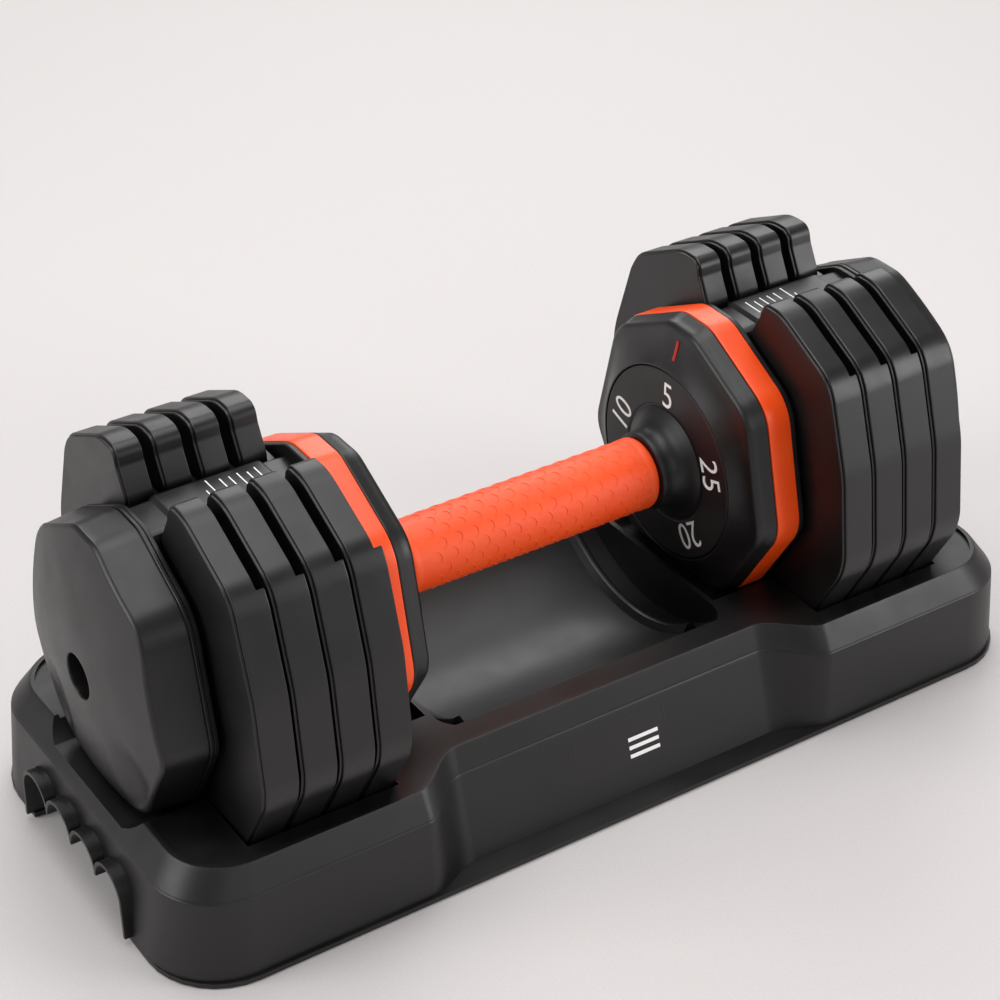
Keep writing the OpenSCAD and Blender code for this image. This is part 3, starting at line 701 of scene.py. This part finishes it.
def buildSpine():
    x0, x1 = st["flangeX"] + 0.05, st["capX"] - 0.05
    mid = (x0 + x1) / 2
    top, a = spine["top"], spine["stepAt"]

    def section(x, drop):
        right = [(spine["half"], spine["low"])]
        right += [(spine["half"] - dy, top - dz - drop) for dy, dz in spine["corner"]]
        return ringAt(x, [(-p[0], p[1]) for p in right] + list(reversed(right)))

    rings = [section(x0 + dx, drop) for dx, drop in spine["ends"]]
    rings += [section(mid - a + dx, drop) for dx, drop in spine["step"]]
    rings.append(section(mid, 0.0))
    rings += [section(mid + a - dx, drop) for dx, drop in reversed(spine["step"])]
    rings += [section(x1 - dx, drop) for dx, drop in reversed(spine["ends"])]
    bothSides(loft("spine", rings), "spine", "headPlastic", "handle_frame", "spine", 24)
    z, y = axisZ + top, spine["barFrom"]
    for i, (dx, length) in enumerate(spine["bars"]):
        x = mid + dx
        bar = block("labelBar", (x, y, z - 0.3), (x + spine["barWide"], y + length, z + 0.05))
        bothSides(bar, f"labelBar{i + 1}", "numberPaint", "handle_frame", "")


handleBore = 14.55  # fits over the handle tube

grip = {
    "rows": 18,        # rows of scales round the grip
    "pitch": 8.2,      # distance between scales along it
    "proud": 0.3,      # height of a scale's edge
    "thick": 0.75,     # width of that edge
    "wide": 0.96,      # a scale's width as a share of its row
    "long": 0.72,      # its length as a share of the pitch
    "margin": 7.0,
    "endFillet": 3.0,
    "collar": [(1.5, 0), (2, 0.25), (2.6, 0.3)],  # step behind the end fillet: distance, depth
}


def scaleMark(width, length, sleeveR):
    # one rounded scale edge: a flattened ridge bent into an arc, radial direction +Y
    ridge, steps = [], 14
    for k in range(steps + 1):
        t = k / steps
        a = math.pi * t
        fade = math.sin(math.pi * t) ** 0.5 if 0 < t < 1 else 0.0
        cx, cs = length / 2 * math.sin(a), -width / 2 * math.cos(a)
        h, w = grip["proud"] * fade, grip["thick"] / 2 * (0.35 + 0.65 * fade)
        n = unit((0, 0), (math.sin(a) / length, -math.cos(a) / width))
        # lie on the sleeve's round surface
        ring = []
        for u, up in ((-w, -0.25), (-w * 0.6, h * 0.75), (0, h), (w * 0.6, h * 0.75), (w, -0.25)):
            x, s = cx + n[0] * u, cs + n[1] * u
            r = sleeveR + up
            ring.append((x, r * math.cos(s / sleeveR), r * math.sin(s / sleeveR)))
        ridge.append(ring)
    return loft("scaleMark", ridge)


def scaleTree():
    # rows of scale marks round the grip, every other row shifted half a pitch
    tree = bpy.data.node_groups.new("gripScales", "GeometryNodeTree")
    face = tree.interface
    face.new_socket("Geometry", in_out="INPUT", socket_type="NodeSocketGeometry")
    for name, kind in (("Length", "NodeSocketFloat"), ("Columns", "NodeSocketInt"), ("Rows", "NodeSocketInt"),
                       ("Axis Height", "NodeSocketFloat"), ("Mark", "NodeSocketObject"),
                       ("Material", "NodeSocketMaterial")):
        face.new_socket(name, in_out="INPUT", socket_type=kind)
    face.new_socket("Geometry", in_out="OUTPUT", socket_type="NodeSocketGeometry")
    given = tree.nodes.new("NodeGroupInput")
    out = tree.nodes.new("NodeGroupOutput")
    grid = addNode(tree, "GeometryNodeMeshGrid", {"Size Y": 1.0},
                   {"Size X": (given, "Length"), "Vertices X": (given, "Columns"),
                    "Vertices Y": (given, "Rows")})
    place = addNode(tree, "GeometryNodeInputPosition")
    parts = addNode(tree, "ShaderNodeSeparateXYZ", {}, {"Vector": (place, "Position")})
    less = addNode(tree, "ShaderNodeMath", {"operation": "SUBTRACT", 1: 1.0}, {0: (given, "Rows")})
    along = addNode(tree, "ShaderNodeMath", {"operation": "ADD", 1: 0.5}, {0: (parts, "Y")})
    row = addNode(tree, "ShaderNodeMath", {"operation": "MULTIPLY"}, {0: (along, 0), 1: (less, 0)})
    rowNumber = addNode(tree, "ShaderNodeMath", {"operation": "ROUND"}, {0: (row, 0)})
    turn = addNode(tree, "ShaderNodeMath", {"operation": "DIVIDE"}, {0: (rowNumber, 0), 1: (given, "Rows")})
    angle = addNode(tree, "ShaderNodeMath", {"operation": "MULTIPLY", 1: 2 * math.pi}, {0: (turn, 0)})
    odd = addNode(tree, "ShaderNodeMath", {"operation": "MODULO", 1: 2.0}, {0: (rowNumber, 0)})
    shift = addNode(tree, "ShaderNodeMath", {"operation": "MULTIPLY_ADD", 1: grip["pitch"] * mm / 2},
                    {0: (odd, 0), 2: (parts, "X")})
    spot = addNode(tree, "ShaderNodeCombineXYZ", {}, {"X": (shift, 0), "Z": (given, "Axis Height")})
    info = addNode(tree, "GeometryNodeObjectInfo", {}, {"Object": (given, "Mark")})
    spin = addNode(tree, "ShaderNodeCombineXYZ", {}, {"X": (angle, 0)})
    turnStore = addNode(tree, "GeometryNodeStoreNamedAttribute",
                        {"data_type": "FLOAT_VECTOR", "Name": "turn"},
                        {"Geometry": (grid, "Mesh"), "Value": (spin, "Vector")})
    move = addNode(tree, "GeometryNodeSetPosition", {},
                   {"Geometry": (turnStore, "Geometry"), "Position": (spot, "Vector")})
    turnRead = addNode(tree, "GeometryNodeInputNamedAttribute", {"data_type": "FLOAT_VECTOR", "Name": "turn"})
    copies = addNode(tree, "GeometryNodeInstanceOnPoints", {},
                     {"Points": (move, "Geometry"), "Instance": (info, "Geometry"),
                      "Rotation": (turnRead, "Attribute")})
    real = addNode(tree, "GeometryNodeRealizeInstances", {}, {"Geometry": (copies, "Instances")})
    paint = addNode(tree, "GeometryNodeSetMaterial", {}, {"Geometry": (real, "Geometry"),
                                                          "Material": (given, "Material")})
    joined = addNode(tree, "GeometryNodeJoinGeometry")
    tree.links.new(given.outputs["Geometry"], joined.inputs["Geometry"])
    tree.links.new(paint.outputs["Geometry"], joined.inputs["Geometry"])
    last = addNode(tree, "GeometryNodeSetMaterial", {}, {"Geometry": (joined, "Geometry"),
                                                         "Material": (given, "Material")})
    tree.links.new(last.outputs["Geometry"], out.inputs["Geometry"])
    return tree


def setInputs(mod, values):
    # a modifier's inputs go by identifier, so each is looked up by its name
    for item in mod.node_group.interface.items_tree:
        if item.in_out == "INPUT" and item.name in values:
            mod[item.identifier] = values[item.name]


def buildGrip():
    r, half, fil, pitch = st["gripR"], st["gripHalf"], grip["endFillet"], grip["pitch"]
    body = r - grip["proud"]
    steps = [(half - fil - dx, r - depth) for dx, depth in grip["collar"]]
    right = [(half, handleBore)] + list(reversed(arc(half - fil, r - fil, fil, 90, 0))) + steps
    left = [(-x, radius) for x, radius in right]
    profile = left + [(x, body) for x in (-30, 0, 30)] + list(reversed(right))
    sleeve = turned("gripSleeve", profile, 144)
    span = 2 * (half - grip["margin"]) - pitch
    columns = int(span / pitch) + 1
    scale = scaleMark(2 * math.pi * body / grip["rows"] * grip["wide"], pitch * grip["long"], body)
    mod = sleeve.modifiers.new("scales", "NODES")
    mod.node_group = scaleTree()
    setInputs(mod, {"Length": (columns - 1) * pitch * mm, "Columns": columns, "Rows": grip["rows"],
                    "Axis Height": axisZ * mm, "Mark": scale, "Material": finishes["gripRubber"]})
    applyMods(sleeve)
    bpy.data.objects.remove(scale)
    finishPiece(sleeve, "gripRubber", "handle", ["grip_sleeve"], 40)


hub = {
    # flare from the grip to the dial: distance from the grip's end, radius
    "flare": [(0, 17.6), (0.5, 18.2), (1.6, 18.5), (3.5, 18.4), (5.5, 18.7), (7.2, 19.4), (8.8, 20.6),
              (10.2, 22.2), (11.4, 24.0), (12.3, 25.4)],
    "rim": [(0.8, 26.3), (0.2, 26.9), (0, 27.2)],  # distance before the dial's face, radius
}


def buildHub():
    x0, x1 = st["gripHalf"] + 0.05, st["dialX"] - 0.05
    profile = [(x0, handleBore)] + [(x0 + d, r) for d, r in hub["flare"]]
    profile += [(x1 - d, r) for d, r in hub["rim"]] + [(x1, handleBore)]
    # the hub's darker black is painted shade
    bothSides(turned("hub", profile), "hub", "shadedBlackPlastic", "handle", "hub", 40)


dial = {
    "settings": 5,
    "eye": [(0.35, 28.2), (0.1, 28.6), (0, 29.0)],          # step round the hub: depth, radius
    "edge": [(0, 1.0), (0.15, 0.5), (0.5, 0.12), (1.0, 0)],  # rounded edge: depth, distance in
    "thick": 4.8,
    "ring": (2, 8.5),     # the notched ring on the back: distance in of its outside and inside
    "notch": (4.1, 10),   # the same for a notch
    "notchHalf": 3.1,
    "numbers": ("5", "10", "15", "20", "25"),
    "numberR": 35.35, "numberTall": 12.4, "numberWide": 0.92, "numberProud": 0.28,
    "stroke": -0.008,     # thins the strokes, as a share of the letter size
    "spacing": 1.02,
}


def buildDial():
    d0, r = st["dialX"], st["dialR"]
    front, back = d0 + dial["thick"], st["dialBack"]
    outer, inner = (r - d for d in dial["ring"])
    profile = [(d0 + dial["eye"][0][0], handleBore)] + [(d0 + d, radius) for d, radius in dial["eye"]]
    profile += [(d0 + d, r - into) for d, into in dial["edge"]]
    profile += [(front, r), (front, outer), (back, outer), (back, inner), (front, inner), (front, handleBore)]
    disc = turned("dial", profile, 160)
    high, low = (r - d for d in dial["notch"])
    notches = []
    for k in range(dial["settings"]):
        a = 2 * math.pi * k / dial["settings"]
        notch = block("notch", (front + 0.05, -dial["notchHalf"], -high), (back + 1, dial["notchHalf"], -low))
        for v in notch.data.vertices:
            y, z = v.co.y, v.co.z
            v.co.y = y * math.cos(a) - z * math.sin(a)
            v.co.z = y * math.sin(a) + z * math.cos(a) + axisZ * mm
        notches.append(notch)
    boolean(disc, notches)
    bothSides(disc, "dial", "dialPlastic", "handle", "dial", 34)


def numberMesh(label):
    curve = bpy.data.curves.new("number", "FONT")
    curve.body = label
    curve.align_x = "CENTER"
    curve.align_y = "CENTER"
    curve.size = 1.0
    curve.extrude = 0.02
    curve.offset = dial["stroke"]
    curve.space_character = dial["spacing"]
    obj = newObject("number", curve)
    deps = bpy.context.evaluated_depsgraph_get()
    mesh = bpy.data.meshes.new_from_object(obj.evaluated_get(deps))
    bpy.data.objects.remove(obj)
    return mesh


def buildNumbers():
    for side, sign in (("right", 1), ("left", -1)):
        bm = bmesh.new()
        for k, label in enumerate(dial["numbers"]):
            mesh = numberMesh(label)
            xs = [v.co.x for v in mesh.vertices]
            ys = [v.co.y for v in mesh.vertices]
            cx, cy = (max(xs) + min(xs)) / 2, (max(ys) + min(ys)) / 2
            scale = dial["numberTall"] / (max(ys) - min(ys))
            a = 2 * math.pi * k / dial["settings"]
            for v in mesh.vertices:
                y = -sign * (v.co.x - cx) * scale * dial["numberWide"]
                up = (v.co.y - cy) * scale + dial["numberR"]
                depth = dial["numberProud"] if v.co.z > 0 else 0.0
                v.co.x = sign * (st["dialX"] - depth + 0.02) * mm
                v.co.y = (y * math.cos(a) + up * math.sin(a)) * mm
                v.co.z = (up * math.cos(a) - y * math.sin(a) + axisZ) * mm
            bm.from_mesh(mesh)
            bpy.data.meshes.remove(mesh)
        bmesh.ops.recalc_face_normals(bm, faces=bm.faces)
        mesh = bpy.data.meshes.new("dialNumbers")
        bm.to_mesh(mesh)
        bm.free()
        obj = newObject(f"dialNumbers{side.capitalize()}", mesh)
        finishPiece(obj, "numberPaint", "handle", [f"dial_numbers_{side}"], 30)


cradle = {
    "waist": 86.5,               # half-width at the waist
    "waistX": (79.2, 107.5),     # where the waist starts to widen, and where it is full
    "corner": 34,
    "crease": 42,                # height of the crease
    "creaseIn": (3.9, 1.5, 12, 3),   # how far length, width, waist and corner come in at the crease
    "rimIn": (12.5, 8.5, 16, 8),     # and at the rim
    "rimLip": 2.4, "deckDrop": 1.4,  # width of the raised rim, and how far the deck lies below it
    "wall": 3,
    "trough": 76, "troughHalf": 75.2, "troughCorner": 14,
    "ribX": (60, 66),            # where the trough's ribs stand
    # side of a rib: distance along X, height
    "ribSide": [(-0.6, -2), (-0.6, 0.2), (0.3, 1.4), (1.4, 3.2), (2.4, 3.5)],
    "ribHalf": 46,
    "gap": 1.5, "air": 0.3,      # room beside and under the pieces in their pockets
    "padRoom": 2.5,
    "plateRadii": [6, 6, 6, 20, 20, 14],
    "lip": 3, "lipWall": 1.7,    # how far the finger opening's lip stands out, and its thickness
    "arches": 4, "gripY": 47, "gripDepth": 18, "archR": 11, "archZ": 20, "cuspZ": 19.9,
}


def planLoop(ends, z, cornerSteps=14, curveSteps=18):
    # cradle outline at height z, from its half-length, half-width, waist and corner radius
    length, width, waist, r = ends
    xa, xb = cradle["waistX"]
    q = []
    for k in range(cornerSteps + 1):
        a = math.pi / 2 * k / cornerSteps
        q.append((length - r + r * math.cos(a), width - r + r * math.sin(a)))
    for k in range(curveSteps + 1):
        t = k / curveSteps
        q.append((xb + (xa - xb) * t, width + (waist - width) * (3 - 2 * t) * t * t))
    q.append((xa / 2, waist))
    back = list(reversed(q))
    full = q + [(-x, y) for x, y in back] + [(-x, -y) for x, y in q] + [(x, -y) for x, y in back]
    return [(x, y, z) for x, y in full]


def between(a, b, t):
    return tuple(p + (q - p) * t for p, q in zip(a, b))


def shrunk(a, d):
    return (a[0] - d, a[1] - d, a[2] - d, max(1.0, a[3] - d))


def flip(objs):
    return objs + [mirrored(o, o.name) for o in objs]


def pocket(name, outline, radii, x0, x1, gap, floorZ):
    loop = rounded(grow(whole(outline), gap), wholeRadii(radii), 6)
    keep = clipLow(loop, floorZ - axisZ)
    return loft(name, [ringAt(x0, keep), ringAt(x1, keep)])


def pockets(wall):
    # room for each head, plate stack and end cap, grown by wall
    c, air = cradle, cradle["air"]
    g = c["gap"] + wall
    w, up, down = st["plateHalf"], st["plateRise"], st["plateDrop"]
    stack = [(37, up), (w - 21, up - 16.5), (w - 16, up - 25), (w, -15.4), (w - 1, -23.4), (w - 29, -down)]
    headX, plateX = st["dialX"] - 2.5, st["flangeX"] + 0.9
    capX, endX = st["capX"] - 1, st["endX"] + 3
    headZ = axisZ + head["half"][3][1] - air
    plateZ = axisZ - down - air - c["padRoom"]
    capZ = axisZ + cap["half"][3][1] - air
    rooms = (("headPocket", head["half"], head["radii"], headX, plateX, headZ),
             ("platePocket", stack, c["plateRadii"], plateX, capX, plateZ),
             ("capPocket", cap["half"], cap["radii"], capX, endX, capZ))
    return [pocket(name, outline, radii, x0 - wall, x1 + wall, g, z - wall)
            for name, outline, radii, x0, x1, z in rooms]


def fingers(wall):
    # the finger space under an end wall: arches side by side, grown by wall
    c = cradle
    half = st["lipX"] - c["lip"]
    pitch = 2 * c["gripY"] / c["arches"]
    r = c["archR"] + wall
    apart = r < pitch / 2
    prof = [(-c["gripY"] - wall, -2.0)]
    for i in range(c["arches"]):
        cy = (i + 0.5) * pitch - c["gripY"]
        first, last = i == 0, i == c["arches"] - 1
        a0 = math.pi if first or apart else math.pi - math.acos(pitch / 2 / r)
        a1 = 0.0 if last or apart else math.acos(pitch / 2 / r)
        if apart and not first:
            prof.append((cy - r, c["cuspZ"]))
        angles = [a0 + (a1 - a0) * k / 24 for k in range(25)]
        prof += [(cy + r * math.cos(a), c["archZ"] + r * math.sin(a)) for a in angles]
        if apart and not last:
            prof.append((cy + r, c["cuspZ"]))
    prof.append((c["gripY"] + wall, -2.0))
    clean = dedupe(prof)
    return loft("fingers", [[(x, y, z) for y, z in clean] for x in (half - c["gripDepth"] - wall, half + 12)])


def fingerWall(wall, x0, x1):
    # the lining of that space between two x
    piece = fingers(wall)
    boolean(piece, [fingers(0.0)])
    slab = block("slab", (x0, -80, st["shellLow"]), (x1, 80, st["rimZ"]))
    boolean(piece, [slab], "INTERSECT")
    return piece


def troughCutter():
    # the round hand trough, ended by a rounded rectangle, with its ribs left standing
    c, rim, r = cradle, st["rimZ"], cradle["trough"]
    cut = turned("trough", [(-c["troughHalf"], r), (c["troughHalf"], r)], 192, False)
    x, y = c["troughHalf"], math.sqrt(r ** 2 - (axisZ - rim) ** 2) + 2
    plan = fine(rounded([(x, -y), (x, y), (-x, y), (-x, -y)], [c["troughCorner"]] * 4, 10), 20)
    prism = loft("troughPlan", [[(p[0], p[1], z) for p in plan] for z in (0, 200)])
    boolean(cut, [prism], "INTERSECT")
    for s in (-1, 1):
        a, b = sorted((s * c["ribX"][0], s * c["ribX"][1]))
        profile = [(a + dx, r - high) for dx, high in c["ribSide"]]
        profile += [(b - dx, r - high) for dx, high in reversed(c["ribSide"])]
        rib = turned("rib", profile, 160)
        keepLow = block("low", (a - 2, -c["ribHalf"], 0), (b + 2, c["ribHalf"], rim))
        boolean(rib, [keepLow], "INTERSECT")
        boolean(cut, [rib])
    return cut


def buildCradle():
    c = cradle
    half = st["lipX"] - c["lip"]
    low, crease, rim = st["shellLow"], c["crease"], st["rimZ"]
    base = (half, st["lobeHalf"], c["waist"], c["corner"])
    mid = tuple(a - b for a, b in zip(base, c["creaseIn"]))
    top = tuple(a - b for a, b in zip(base, c["rimIn"]))
    # levels of the outside: height, outline, how far it is drawn in
    levels = [(low, base, 0.0)]
    for k in range(1, 5):
        t = k / 4 * 0.93
        levels.append((low + (crease - low) * t, between(base, mid, t), 0.0))
    levels += [(crease - 1.0, between(base, mid, 0.975), 0.05),
               (crease - 0.3, between(base, mid, 0.99), 0.12),
               (crease, mid, 0.35), (crease + 0.35, between(mid, top, 0.03), 0.3)]
    for t in (0.09, 0.3, 0.6, 0.86):
        levels.append((crease + (rim - crease) * t, between(mid, top, t), 0.1))
    levels += [(rim - 0.6, between(mid, top, 0.955), 0.12), (rim - 0.15, top, 0.15), (rim, top, 0.7)]
    shell = loft("cradleShell", [planLoop(shrunk(e, d), z) for z, e, d in levels])

    def core(d, a, b):
        # the space d inside the outside, as a lower and an upper block
        return [loft("core", [planLoop(shrunk(e, d), z, 8, 8) for z in (a, zTop)])
                for zTop, e in ((crease - d, mid), (b, top))]

    # hollow underside, then the tubs that show from above
    boolean(shell, core(c["wall"], low - 1, rim - c["wall"]))
    tubEnd, tubR = c["troughHalf"] + c["wall"], c["trough"] + c["wall"]
    tubs = [turned("troughTub", [(-tubEnd, tubR), (tubEnd, tubR)], 160, False)] + flip(pockets(c["wall"]))
    inside, upper = core(1, low, rim - 0.5)
    boolean(inside, [upper], "UNION")
    for tub in tubs:
        boolean(tub, [inside], "INTERSECT", keep=True)
    bpy.data.objects.remove(inside)
    boolean(shell, tubs, "UNION")
    # finger lips round the end openings, and the wall behind them
    lip = fingerWall(c["lipWall"], half - 6, half + c["lip"])
    behind = fingerWall(2.0, half - c["gripDepth"] - 3, half - 1)
    boolean(shell, flip([lip, behind]), "UNION")
    # sunk deck, trough, pockets and finger spaces
    cut = troughCutter()
    deck = loft("deck", [planLoop(shrunk(top, c["rimLip"]), z) for z in (rim - c["deckDrop"], rim + 3)])
    boolean(shell, [deck])
    boolean(shell, [cut])
    boolean(shell, flip(pockets(0) + [fingers(0.0)]))
    cleanMesh(shell)
    bevel(shell, 0.7, 40)
    finishPiece(shell, "cradlePlastic", "cradle", ["cradle_shell"], 30)


def cleanMesh(obj):
    # merges close points and flat neighbours, so the bevel has clean edges
    bm = bmesh.new()
    bm.from_mesh(obj.data)
    bmesh.ops.remove_doubles(bm, verts=bm.verts, dist=0.02 * mm)
    bmesh.ops.dissolve_limit(bm, angle_limit=math.radians(0.4), verts=bm.verts, edges=bm.edges)
    bm.to_mesh(obj.data)
    bm.free()


def dedupe(points):
    # drops points closer than 0.05 to the one before
    out = []
    for p in points:
        if not out or math.hypot(p[0] - out[-1][0], p[1] - out[-1][1]) > 0.05:
            out.append(p)
    return out


def clipLow(loop, z):
    # the part of an outline above height z
    out = []
    n = len(loop)
    for i in range(n):
        p, q = loop[i], loop[(i + 1) % n]
        if p[1] >= z:
            out.append(p)
        if (p[1] - z) * (q[1] - z) < 0:
            t = (z - p[1]) / (q[1] - p[1])
            out.append((p[0] + (q[0] - p[0]) * t, z))
    return out


badge = {
    "thick": 1.2, "slope": 17,     # thickness, and the wall's slope in degrees
    "edge": 1.2, "groove": 0.75,   # where the frame line runs, and its width
    "grooveDepth": 0.65,
    "barX": (5, 21), "barHalf": 0.9, "barStep": 4,
}


def buildBadge():
    # a plate on the sloping waist wall, with a sunk frame line and three plain level bars
    lo, hi = boxMm("badge_plate")
    tilt = math.atan2(hi.y - lo.y - badge["thick"] * math.cos(math.radians(badge["slope"])), hi.z - lo.z)
    high = (hi.z - lo.z) / math.cos(tilt) - 0.6
    half = (hi.x - lo.x) / 2
    base = Vector((0, lo.y, lo.z))
    up = Vector((0, math.sin(tilt), math.cos(tilt)))
    out = Vector((0, -math.cos(tilt), math.sin(tilt)))

    def slab(name, x0, x1, v0, v1, d0, d1):
        # x, height up the wall and distance out of it
        corner = [(x, v, d) for x in (x0, x1) for v in (v0, v1) for d in (d0, d1)]
        return meshFrom(name, [base + up * v + out * d + Vector((x, 0, 0)) for x, v, d in corner], boxFaces)

    body = slab("badgePlate", -half + 0.1, half - 0.1, 0.1, high, -1.05, -0.02)
    e, g = badge["edge"], badge["groove"]
    frameLines = ((-half + e, half - e, e, e + g), (-half + e, half - e, high - e - g, high - e),
                  (-half + e, -half + e + g, e + 0.1, high - e - 0.1),
                  (half - e - g, half - e, e + 0.1, high - e - 0.1))
    boolean(body, [slab("line", a, b, v, w, -badge["grooveDepth"], 0.5) for a, b, v, w in frameLines])
    bevel(body, 0.15, 40)
    finishPiece(body, "badgePlastic", "cradle", ["badge_plate"], 30)
    for k in range(3):
        v = high / 2 + badge["barStep"] * (k - 1)
        bar = slab("badgeBar", *badge["barX"], v - badge["barHalf"], v + badge["barHalf"], -0.1, 0.0)
        finishPiece(bar, "numberPaint", "cradle", (), 30)


def dressCadNodes():
    # plain CAD pieces whose shape is right get their own finish
    given = {
        "cradle_bottom_plate": "cradlePlastic", "rubber_feet": "footRubber", "cradle_screws": "steel",
        "frame_screws": "steel", "handle_tube": "steel",
    }
    for side in ("left", "right"):
        given.update({
            f"plate_pad_{side}": "footRubber", f"release_post_{side}": "steel", f"bush_{side}": "brass",
            f"end_weight_{side}": "castIron", f"lock_rod_{side}": "steel", f"lock_pin_{side}": "steel",
            f"pin_spring_{side}": "steel",
        })
    for name, finish in given.items():
        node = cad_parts[name]
        node.data.materials.clear()
        node.data.materials.append(finishes[finish])


stage = {
    "floorHalf": 4.0,  # metres
    "floor": "#d2cecd", "floorDark": "#cbc7c6", "floorLight": "#d8d4d3",
    "world": "#f4f2f2", "worldLight": 0.3,
}

# soft area lights: place, target and size in metres, power in watts
lights = {
    "softTop": ((0.1, 0.2, 1.7), (0, 0, 0.1), (1.5, 1.2), 19),
    "softBack": ((1.0, 1.5, 1.25), (0, 0, 0.05), (1.5, 0.8), 16),
    "leftStrip": ((-1.5, 0.3, 0.8), (-0.1, 0, 0.1), (0.8, 1.0), 13),
    "rightStrip": ((1.1, -1.2, 0.6), (0, 0, 0.1), (0.7, 0.8), 11),
    "frontFill": ((-0.3, -1.8, 1.0), (0, 0, 0.1), (1.4, 0.7), 4),
}

# place in metres, angles in degrees, lens and sensor in millimetres
view = {
    "place": (-0.5325, -0.7927, 0.7350), "azimuth": -33.37, "elevation": 33.14,
    "lens": 92.63, "sensor": 36, "farthest": 20,
}


def buildStage():
    # matt paper floor with a faint grain of about 1 mm
    mesh = bpy.data.meshes.new("floor")
    s = stage["floorHalf"]
    mesh.from_pydata([(-s, -s, 0), (s, -s, 0), (s, s, 0), (-s, s, 0)], [], [(0, 1, 2, 3)])
    floor = newObject("floor", mesh)
    mat, tree, shader = newMaterial("palePaperFloor", stage["floor"], 0.75)
    coord = addNode(tree, "ShaderNodeTexCoord")
    noise = addNode(tree, "ShaderNodeTexNoise", {"Scale": 900.0, "Detail": 2.0},
                    {"Vector": (coord, "Object")})
    tint = addNode(tree, "ShaderNodeValToRGB", {}, {"Fac": (noise, "Fac")})
    tint.color_ramp.elements[0].color = linear(stage["floorDark"])
    tint.color_ramp.elements[1].color = linear(stage["floorLight"])
    tree.links.new(tint.outputs["Color"], shader.inputs["Base Color"])
    mesh.materials.append(mat)
    world = bpy.data.worlds.new("studio")
    bpy.context.scene.world = world
    world.use_nodes = True
    background = world.node_tree.nodes["Background"]
    background.inputs["Color"].default_value = linear(stage["world"])
    background.inputs["Strength"].default_value = stage["worldLight"]


def addLight(name, place, target, size, power):
    data = bpy.data.lights.new(name, "AREA")
    data.shape = "RECTANGLE"
    data.size, data.size_y = size
    data.energy = power
    light = newObject(name, data)
    light.location = place
    light.rotation_euler = (Vector(target) - Vector(place)).to_track_quat("-Z", "Y").to_euler()


def buildCamera():
    azimuth, elevation = math.radians(view["azimuth"]), math.radians(view["elevation"])
    back = Vector((math.sin(azimuth) * math.cos(elevation), -math.cos(azimuth) * math.cos(elevation),
                   math.sin(elevation)))
    data = bpy.data.cameras.new("camera")
    data.lens = view["lens"]
    data.sensor_width = view["sensor"]
    data.clip_end = view["farthest"]
    camera = newObject("camera", data)
    camera.location = view["place"]
    camera.rotation_euler = back.to_track_quat("Z", "Y").to_euler()
    bpy.context.scene.camera = camera


buildCamera()
buildStage()
for name, setting in lights.items():
    addLight(name, *setting)
bpy.context.scene.view_settings.view_transform = "Standard"
print("stage ready")
buildHead()
buildIndexMark()
buildBand()
buildHeadBack()
buildEndCap()
buildCapPlate()
print("heads and caps ready")
buildPlates()
print("plates ready")
buildSpine()
buildGrip()
buildHub()
buildDial()
buildNumbers()
print("handle ready")
buildCradle()
buildBadge()
dressCadNodes()
print("cradle ready")
